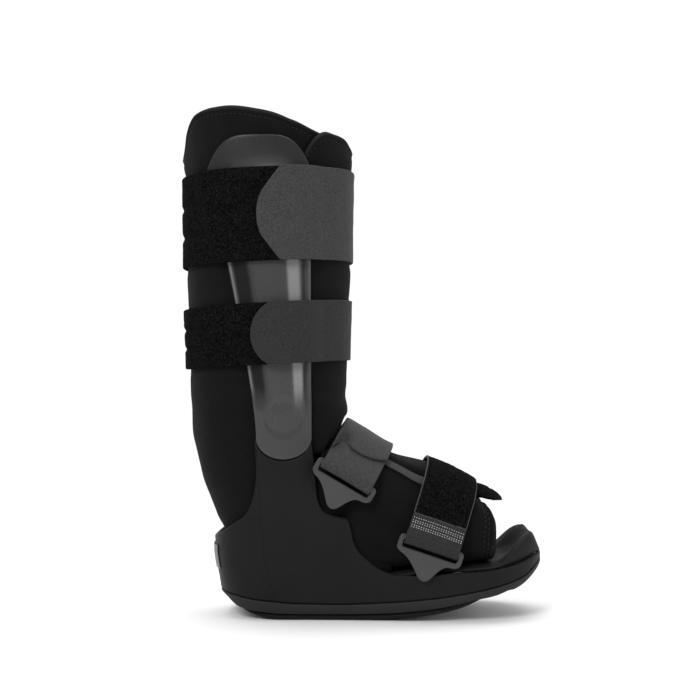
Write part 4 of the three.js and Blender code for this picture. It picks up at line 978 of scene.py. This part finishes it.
def loop_outline():
    half = FOOT_STRAP_WIDTH / 2 + 2 * CLEARANCE + LOOP_SIDE
    top, low, tail = LOOP_SLOT / 2 + LOOP_BAR, -LOOP_SLOT / 2, LOOP_TAIL
    path = [np.array([-half + 4, top]), np.array([half - 4, top])]
    bezier(path, (half, top), (half, top - 4))
    path.append(np.array([half, low]))
    bezier(path, (half - 1, low - 5), (half - 9, low - 5))
    bezier(path, (0.45 * half, low - 6), (0.35 * half, -0.72 * tail), (6, -0.92 * tail))
    bezier(path, (2, -tail - 2), (-3, -0.92 * tail))
    bezier(path, (-0.3 * half, -0.72 * tail), (-0.5 * half, low - 7), (-half + 5, low - 5))
    bezier(path, (-half, low - 3), (-half, low))
    path.append(np.array([-half, top - 4]))
    bezier(path, (-half, top), (-half + 4, top))
    return path[:-1]


def slot_outline():
    half, tall, corner = FOOT_STRAP_WIDTH / 2 + 2 * CLEARANCE, LOOP_SLOT / 2, 1.4
    path = []
    for cx, cy, start in ((half, tall, 0), (-half, tall, 90), (-half, -tall, 180), (half, -tall, 270)):
        for k in range(5):
            turn = math.radians(start + 22.5 * k)
            path.append((cx - math.copysign(corner, cx) + corner * math.cos(turn),
                         cy - math.copysign(corner, cy) + corner * math.sin(turn)))
    return path


def plate(name, outlines, thickness, edge, place, material):
    """A flat plate with rounded edges from its outlines; place turns its points into the boot's."""
    curve = bpy.data.curves.new(name, "CURVE")
    curve.dimensions, curve.fill_mode = "2D", "BOTH"
    curve.extrude, curve.offset = thickness / 2 - edge, -edge
    curve.bevel_depth, curve.bevel_resolution = edge, 3
    for outline in outlines:
        spline = curve.splines.new("POLY")
        spline.points.add(len(outline) - 1)
        for point, (x, y) in zip(spline.points, outline):
            point.co = (x, y, 0, 1)
        spline.use_cyclic_u = True
    holder = bpy.data.objects.new(name, curve)
    SCENE.collection.objects.link(holder)
    evaluated = holder.evaluated_get(bpy.context.evaluated_depsgraph_get())
    source = bpy.data.meshes.new_from_object(evaluated)
    verts = np.array([vertex.co for vertex in source.vertices])
    faces = [tuple(polygon.vertices) for polygon in source.polygons]
    bpy.data.objects.remove(holder)
    bpy.data.curves.remove(curve)
    bpy.data.meshes.remove(source)
    mesh = cleaned(mesh_from(name, place(verts), faces), 1e-6)
    obj = link(mesh, material)
    mesh.shade_smooth()
    obj.modifiers.new("edges", "EDGE_SPLIT").split_angle = math.radians(50)
    return obj


def make_loop(key, side, word):
    loop = LOOPS[key]

    def place(verts):
        centre = np.array([loop["x"], -side * loop["y"], loop["z"]])
        return (centre + verts[:, :1] * loop["across"] + verts[:, 1:2] * loop["upward"]
                + verts[:, 2:] * np.array([0, -side, 0]))

    obj = plate(f"{key}_loop_plate_{word}", [loop_outline(), slot_outline()], LOOP_THICKNESS, 0.7, place,
                LOOP_PLASTIC)
    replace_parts(obj, f"{key}_loop_{word}")


# Foot straps

FOOT_STRAP_SEAT = STRIP_SEAT + STRIP_THICKNESS + CLOTH_GAP + FOOT_STRAP_THICKNESS / 2
STITCH_HEIGHT, STITCH_LANE, STITCH_ROWS, STITCH_STEP = 75.0, 17, 5, 2.4
BARE_WEBBING, EDGE_TAPE_WIDTH = 10.5, 1.7
FOREFOOT_ANGLE, INSTEP_ANGLE, TAB_END_ANGLE, TAB_END_ROUND = 72, 62, 52, 9


def over_foot(loop, angle, along, off):
    angle, along = np.broadcast_arrays(np.asarray(angle, float), along)
    x = np.full(angle.shape, loop["x"])
    for _ in range(14):
        height = foot_point(x, angle, off)[..., 2] - loop["z"]
        x = mix(x, loop["x"] + (along - height * loop["across"][2]) / loop["across"][0], 0.7)
    return foot_point(x, angle, off)


def leave_angle(loop, widest):
    centre = np.array([loop["x"], 0, loop["z"]])
    above = LOOP_SLOT / 2 + LOOP_BAR + FOOT_STRAP_THICKNESS + CLOTH_GAP
    ends = np.array([-0.5, 0.5]) * FOOT_STRAP_WIDTH
    angle = widest
    while angle > widest / 3 and ((over_foot(loop, angle, ends, FOOT_STRAP_SEAT) - centre)
                                  @ loop["upward"]).min() - above < LOOP_BAR:
        angle -= 2
    return angle


def round_bar(loop, side, along):
    """A strap's lines round a loop's bar, from behind the plate to its front."""
    seat = LOOP_THICKNESS / 2 + CLOTH_GAP + FOOT_STRAP_THICKNESS / 2
    bar, dip = LOOP_SLOT / 2, CLOTH_GAP + FOOT_STRAP_THICKNESS / 2 + CLEARANCE
    above = bar + LOOP_BAR + FOOT_STRAP_THICKNESS + CLOTH_GAP
    turn = [beside_loop(loop, side, along, seat * math.cos(t), bar - dip * math.sin(t))
            for t in np.linspace(math.pi, 0, 13)]
    return [beside_loop(loop, side, along, -seat, above), *turn, beside_loop(loop, side, along, seat, above)]


def strap_run(key, widest):
    """What the foot straps share: the loop, the angle where they leave it, the lanes across, and the lines of
    the outer turn, the arc over the foot and the inner turn."""
    loop = LOOPS[key]
    widest = leave_angle(loop, widest)
    along = (edge_shares(FOOT_STRAP_WIDTH, 1, 34) - 0.5) * FOOT_STRAP_WIDTH
    arc = [over_foot(loop, angle, along, FOOT_STRAP_SEAT) for angle in np.linspace(widest, -widest, 37)]
    return loop, widest, along, round_bar(loop, 1, along), arc, round_bar(loop, -1, along)


def strap_grid(lines, count):
    """Evens out a strap's lines, one for each lane of its width, into a grid."""
    lines = np.asarray(lines)
    return np.stack([resample(rounded(lines[:, lane]), count) for lane in range(lines.shape[1])], axis=1)


def forefoot_relief(info):
    """Pile over the foot, smooth webbing near the loops."""
    z = info["grid"][..., 2]
    fuzzy = smooth(z, 82, 86)
    edges = 0.35 * (bump(info["v0"], 0.9, 0.6) + bump(info["v1"], 0.9, 0.6))
    return fuzzy * (ripple(info["grid"], 3.0, 0.3, 7.3) + ripple(info["grid"], 14, 0.4, 1.1)) + edges


def stitching_start(grid):
    """Row of the forefoot strap where its stitching starts, above the outer loop."""
    return int(np.argmin(np.abs(grid[:60, STITCH_LANE, 2] - STITCH_HEIGHT)))


def forefoot_trim(info):
    """1 on the woven edges of the pile, 2 on the bare webbing next to the loops."""
    bare = info["u0"][stitching_start(info["grid"]), STITCH_LANE] + BARE_WEBBING
    plain = np.minimum(info["u0"], info["u1"]) < bare
    return np.where(plain, 2, np.minimum(info["v0"], info["v1"]) < EDGE_TAPE_WIDTH)


def make_forefoot_strap():
    _, _, _, near, arc, far = strap_run("forefoot", FOREFOOT_ANGLE)
    grid = strap_grid([*near, *arc, *far[::-1]], 300)
    mesh, info = wall("forefoot_strap_tape", grid, FOOT_STRAP_THICKNESS / 2, around="x",
                      relief=forefoot_relief, trim=forefoot_trim)
    strap = link(mesh, PILE)
    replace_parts(strap, "forefoot_strap")
    mesh.materials.append(EDGE_TAPE)
    mesh.materials.append(TAB_DARK)
    outer, normal = info["outer"], info["normal"]
    start = stitching_start(outer)
    for side, first, step in (("lateral", start, 1), ("medial", len(outer) - 1 - start, -1)):
        for row in range(STITCH_ROWS):
            at = first + step * int(round(row * STITCH_STEP))
            stitches(f"forefoot_stitches_{side}_{row + 1}", outer[at, 4:-4], normal[at, 4:-4], PALE_THREAD,
                     "tab", length=0.95, gap=1.0, radius=0.34, sink=-0.05)


def make_instep_strap():
    loop, widest, along, near, arc, far = strap_run("instep", INSTEP_ANGLE)
    second = FOOT_STRAP_SEAT + FOOT_STRAP_THICKNESS + CLOTH_GAP
    end = TAB_END_ANGLE - TAB_END_ROUND * np.abs(2 * along / FOOT_STRAP_WIDTH) ** 2.4
    back = [over_foot(loop, mix(-widest, end, share), along, second) for share in np.linspace(0, 1, 37)]
    grid = strap_grid([*near, *arc, *far, *back], 320)
    grid = eased(grid, smooth(grid[..., 2], loop["z"] + 11, loop["z"] + 19), 12)
    mesh, _ = wall("instep_strap_tape", grid, FOOT_STRAP_THICKNESS / 2, around="x", relief=weave_relief)
    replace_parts(link(mesh, TAB), "instep_strap")


# Uprights


POCKET_Z, POCKET_RADIUS = 166.3, 15.1


def strut_grid(U, V, side):
    share = 2 * U - 1
    low = socket_z(ANKLE_X + share * UPRIGHT_WIDTH / 2) + 2 * CLEARANCE
    z = mix(low, STRUT_TOP - STRUT_TOP_CORNER * share ** 4, V)
    x = mix(strut_back(z), UPRIGHT_FRONT, U)
    return points(x, -side * leg_half(x, z, (CLEARANCE + SHELL_WALL + CLOTH_GAP) / 2), z)


def make_strut(side, word):
    U, V = mesh_grid(edge_shares(60, 1.45, 84), edge_shares(250, 1.45, 116))

    def relief(info):
        x, z = info["grid"][..., 0], info["grid"][..., 2]
        fade = between(V, 0.13, 0.2, 0.86, 0.94)
        pocket = 1 - smooth(np.hypot(x - ANKLE_X, z - POCKET_Z), POCKET_RADIUS - 0.7, POCKET_RADIUS + 0.7)
        return -STRUT_RELIEF * fade * column(RELIEF, "sink", U) - 0.6 * pocket

    half = (CLEARANCE + SHELL_WALL - CLOTH_GAP) / 2
    # painted light on the strut: painted highlights on the rib, the back edge and just above the strap;
    # painted shade on the back facet, the front groove and the top
    faced = between(V, 0.12, 0.24, 0.84, 0.94)
    rib = between(U, 0.68, 0.74, 0.83, 0.89) + 0.7 * bump(U, 0.02, 0.02)
    shade = between(U, 0.03, 0.08, 0.2, 0.3) + 0.6 * bump(U, 0.91, 0.02)
    painted_light = 0.5 + 0.5 * faced * np.clip(rib - shade, -1, 1) - 0.3 * smooth(V, 0.84, 0.95)
    painted_light += 0.45 * bump(V, 0.895, 0.03) * bump(U, 0.6, 0.25)
    mesh, _ = wall(f"upright_{word}", strut_grid(U, V, side), half, relief=relief, trim=lambda info: painted_light)
    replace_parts(link(mesh, STRUT_PLASTIC), f"strut_{word}")


# Shell

COLUMN_LEAN, CREASE_Z, LIP_WIDTH = 14.0, 34.7, 4.6


def shell_columns(count):
    """Base and rim of the shell's outer side as [x, z], in matching columns that never cross."""
    def path(table, start, end, samples):
        rows = {"row": list(range(len(table["on"])))}
        rows["x"] = [mix(start, end, on) for on in table["on"]]
        rows["z"] = [up * SHELL_HEIGHT for up in table["up"]]
        return np.stack([column(rows, "x", samples * rows["row"][-1]),
                         column(rows, "z", samples * rows["row"][-1])], axis=-1)

    lines = np.linspace(0, 1, 1500)
    turn = lines[::6] * math.pi
    socket = np.stack([ANKLE_X - UPRIGHT_WIDTH / 2 * np.cos(turn),
                       0.985 * SHELL_HEIGHT - SOCKET_DEPTH * np.sin(turn)], axis=-1)
    behind = path(RIM_BEHIND, HEEL_X - 1, UPRIGHT_BACK, lines ** 2)
    ahead = path(RIM_AHEAD, UPRIGHT_FRONT, TOE_X, 1 - (1 - lines) ** 2)
    behind, ahead = behind[behind[:, 0] > heel_back(behind[:, 1])], ahead[ahead[:, 0] < TOE_X]
    first = np.array([[heel_back(behind[0, 1]), behind[0, 1]]])
    last = np.array([[TOE_X, ahead[-1, 1]]])
    rim = np.concatenate([first, behind, socket[1:-1], ahead, last])
    lean = np.concatenate([
        [0], COLUMN_LEAN * np.clip((behind[:, 1] - 80) / 69, 0, 1),
        COLUMN_LEAN * mix(1, -1, lines[::6])[1:-1],
        -COLUMN_LEAN * (1 - smooth(ahead[:, 0], UPRIGHT_FRONT, 45)), [0]])
    solid = points(rim[:, 0], shell_half(rim[:, 0], rim[:, 1], 0), rim[:, 1])
    both = resample(np.column_stack([rim, rim[:, 0] + lean]), count, solid)
    base_x = np.clip(both[:, 2], HEEL_X, TOE_X)
    base = np.stack([base_x, parting_z(base_x)], axis=-1)
    base[:, 0] = np.maximum(base[:, 0], heel_back(base[:, 1]))
    return base, both[:, :2]


def make_shell():
    foot, top = shell_columns(400)
    up = 1 - (1 - edge_shares(60, 1.2, 40)) ** 1.25
    z = mix(foot[:, 1:2], top[:, 1:2], up)
    ahead = mix(foot[:, :1] - heel_back(foot[:, 1:2]), top[:, :1] - heel_back(top[:, 1:2]), up)
    x = np.minimum(heel_back(z) + ahead, TOE_X)

    def both_sides(x, y, z):
        return np.concatenate([points(x, -y, z), points(x, y, z)[-2:0:-1]])

    outer = both_sides(x, shell_half(x, z, 0), z)
    slope = (shell_half(x + 0.4, z, 0) - shell_half(x - 0.4, z, 0)) / 0.8
    across = 1 / np.sqrt(1 + slope * slope)
    normal = both_sides(-slope * across, across, 0)

    def relief(info):
        gx, gz = info["grid"][..., 0], info["grid"][..., 2]
        crease = 0.35 * bump(gz, CREASE_Z, 0.9) * between(gx, -96, -86, -45, -25)
        lip = 0.4 * bump(info["v1"], LIP_WIDTH, 0.7) * (1 - smooth(gx, -106, -100))
        return -crease - lip

    mesh, _ = wall("boot_shell", outer - normal * SHELL_WALL / 2, SHELL_WALL / 2, relief=relief,
                   ends=(0, 0, 1, 1), closed=True, normal=normal)
    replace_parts(link(mesh, SHELL_PLASTIC), "shell_base")


# Outsole, tread, footbed, label

TREAD_START, TREAD_END = 0.06, 0.86
TRAY_END, TRAY_START, TRAY_ROOM = 0.66, 0.46, 1.6
LABEL_WIDTH, LABEL_HEIGHT, LABEL_THICKNESS, LABEL_GROOVE = 46.0, 20.0, 0.7, 1.8
LABEL_Y, LABEL_Z = -1.5, 49.5


def tread_top(x):
    share = sole_share(x)
    full = between(share, TREAD_START, TREAD_START + 0.1, TREAD_END - 0.1, TREAD_END)
    return rocker_z(x) + mix(0.25, 1, full) * TREAD_THICKNESS


def outsole_bottom(x):
    share = sole_share(x)
    over = between(share, TREAD_START - 0.06, TREAD_START - 0.025, TREAD_END + 0.02, TREAD_END + 0.05)
    return mix(rocker_z(x), tread_top(x) + 2 * CLEARANCE, over)


def ring_places(count, start, end):
    """x of a ring's points, from end round to end, and the side that each is on."""
    turn = 2 * np.pi * np.arange(count) / count
    return mix(start, end, (1 + np.cos(turn)) / 2), -np.sign(np.round(np.sin(turn), 9))


def sole_ring(count, start, end, inset, height):
    x, side = ring_places(count, start, end)
    return points(x, side * (sole_half(x) - inset) * end_round(x, start, end), height(x))


def make_sole():
    back, edge, count = float(heel_back(0)), 3.0, 480

    def top(x):
        return parting_z(x) - CLEARANCE

    def low(x):
        return np.minimum(outsole_bottom(x), top(x) - 1.2)

    levels = ((edge, edge, 0), (1.2, 1.2, 0.06), (0, 0, 0.3), (0, -0.6, 0.6), (0, -0.6, 0.92), (0.5, -0.1, 1))
    rings = [sole_ring(count, back + end, TOE_X - end, inset, lambda x, s=share: mix(low(x), top(x), s))
             for end, inset, share in levels]
    mesh = ring_grid("outsole_band", between_rings(rings, 26))
    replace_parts(link(mesh, SOLE_PLASTIC), "outsole")

    start, end = HEEL_X + TREAD_START * SOLE_LENGTH, HEEL_X + TREAD_END * SOLE_LENGTH
    first = start + 1.2 * GROOVE_PITCH

    def grooved(x):
        share = (x - first) / GROOVE_PITCH
        off = np.abs(share - np.round(share)) * GROOVE_PITCH
        real = (share > -0.4) & (x < end - GROOVE_PITCH + 3)
        cut = 1 - smooth(off, GROOVE_WIDTH / 2 - 0.5, GROOVE_WIDTH / 2 + 0.5)
        return rocker_z(x) + GROOVE_DEPTH * real * cut

    rings = [sole_ring(900, start + 9, end - 9, TREAD_INSET + 6.5, grooved),
             sole_ring(900, start + 7, end - 7, TREAD_INSET + 5, rocker_z),
             sole_ring(900, start + 2, end - 2, TREAD_INSET + 0.6, lambda x: rocker_z(x) + 0.2),
             sole_ring(900, start, end, TREAD_INSET - 0.5, lambda x: mix(rocker_z(x), tread_top(x), 0.35)),
             sole_ring(900, start, end, TREAD_INSET - 0.5, tread_top)]
    mesh = ring_grid("tread_layer", rings)
    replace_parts(link(mesh, TREAD_RUBBER), "tread")


def tray_floor(x):
    return mix(parting_z(x) + SHELL_FLOOR, rim_z(x), smooth(sole_share(x), TRAY_START, TRAY_END))


def make_footbed():
    back, front = HEEL_X + SHELL_WALL + HEEL_LEAN + CLEARANCE, TOE_X - 0.8
    layers = ((2.5, 0, 0), (0, 0.35, 0.35), (0.5, 0.75, 0.8), (4, 1, 1), (9, 1, 0.9), (17, 0.98, 0.35),
              (24, 0.97, 0.06))
    rings = []
    for inset, up, lip in layers:
        x, side = ring_places(400, back + inset, front - inset)
        share = sole_share(x)
        slope = smooth(share, TRAY_START - 0.07, TRAY_START) - smooth(share, TRAY_END, TRAY_END + 0.07)
        low = tray_floor(x) + CLEARANCE + TRAY_ROOM * slope
        inside = np.minimum(sole_half(x), shell_half(x, low, 0)) - SHELL_WALL - CLEARANCE - 0.5
        wide = mix(inside, sole_half(x) - 0.8, smooth(share, 0.69, 0.77)) - inset
        z = mix(low, footbed_top(x), up) + lip * TOE_LIP * between(share, 0.84, 0.95, 0.958, 1.003)
        rings.append(points(x, side * wide * end_round(x, back + inset, front - inset), z))
    mesh = ring_grid("footbed_pad", between_rings(rings, 40))
    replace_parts(link(mesh, FOOTBED_FOAM), "footbed")


def make_label():
    U, V = mesh_grid(edge_shares(LABEL_WIDTH, 0.5, 56, 4), edge_shares(LABEL_HEIGHT, 0.5, 24, 4))
    y, z = (U - 0.5) * LABEL_WIDTH + LABEL_Y, (V - 0.5) * LABEL_HEIGHT + LABEL_Z
    near, far = heel_back(z), heel_back(z) + HEEL_ROUND
    for _ in range(24):
        x = (near + far) / 2
        inside = shell_half(x, z, 0) < np.abs(y)
        near, far = np.where(inside, x, near), np.where(inside, far, x)
    grid = points(near - 0.5 - 0.012 * np.abs(y), y * (1 + 0.4 / 60), z)

    def relief(info):
        return -0.25 * sum(bump(info[key], LABEL_GROOVE, 0.35) for key in ("u0", "u1", "v0", "v1"))

    mesh, _ = wall("heel_panel", grid, LABEL_THICKNESS / 2, relief=relief)
    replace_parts(link(mesh, LABEL_FACE), "heel_label")


make_camera()
make_studio()
make_sleeve()
make_wrap()
make_tongue()
make_strip()
make_calf_strap("upper", TAB)
make_calf_strap("lower", TAB_DARK)
for loop_side, loop_word in ((1, "lateral"), (-1, "medial")):
    make_strut(loop_side, loop_word)
    for loop_key in ("instep", "forefoot"):
        make_loop(loop_key, loop_side, loop_word)
make_forefoot_strap()
make_instep_strap()
make_shell()
make_sole()
make_footbed()
make_label()
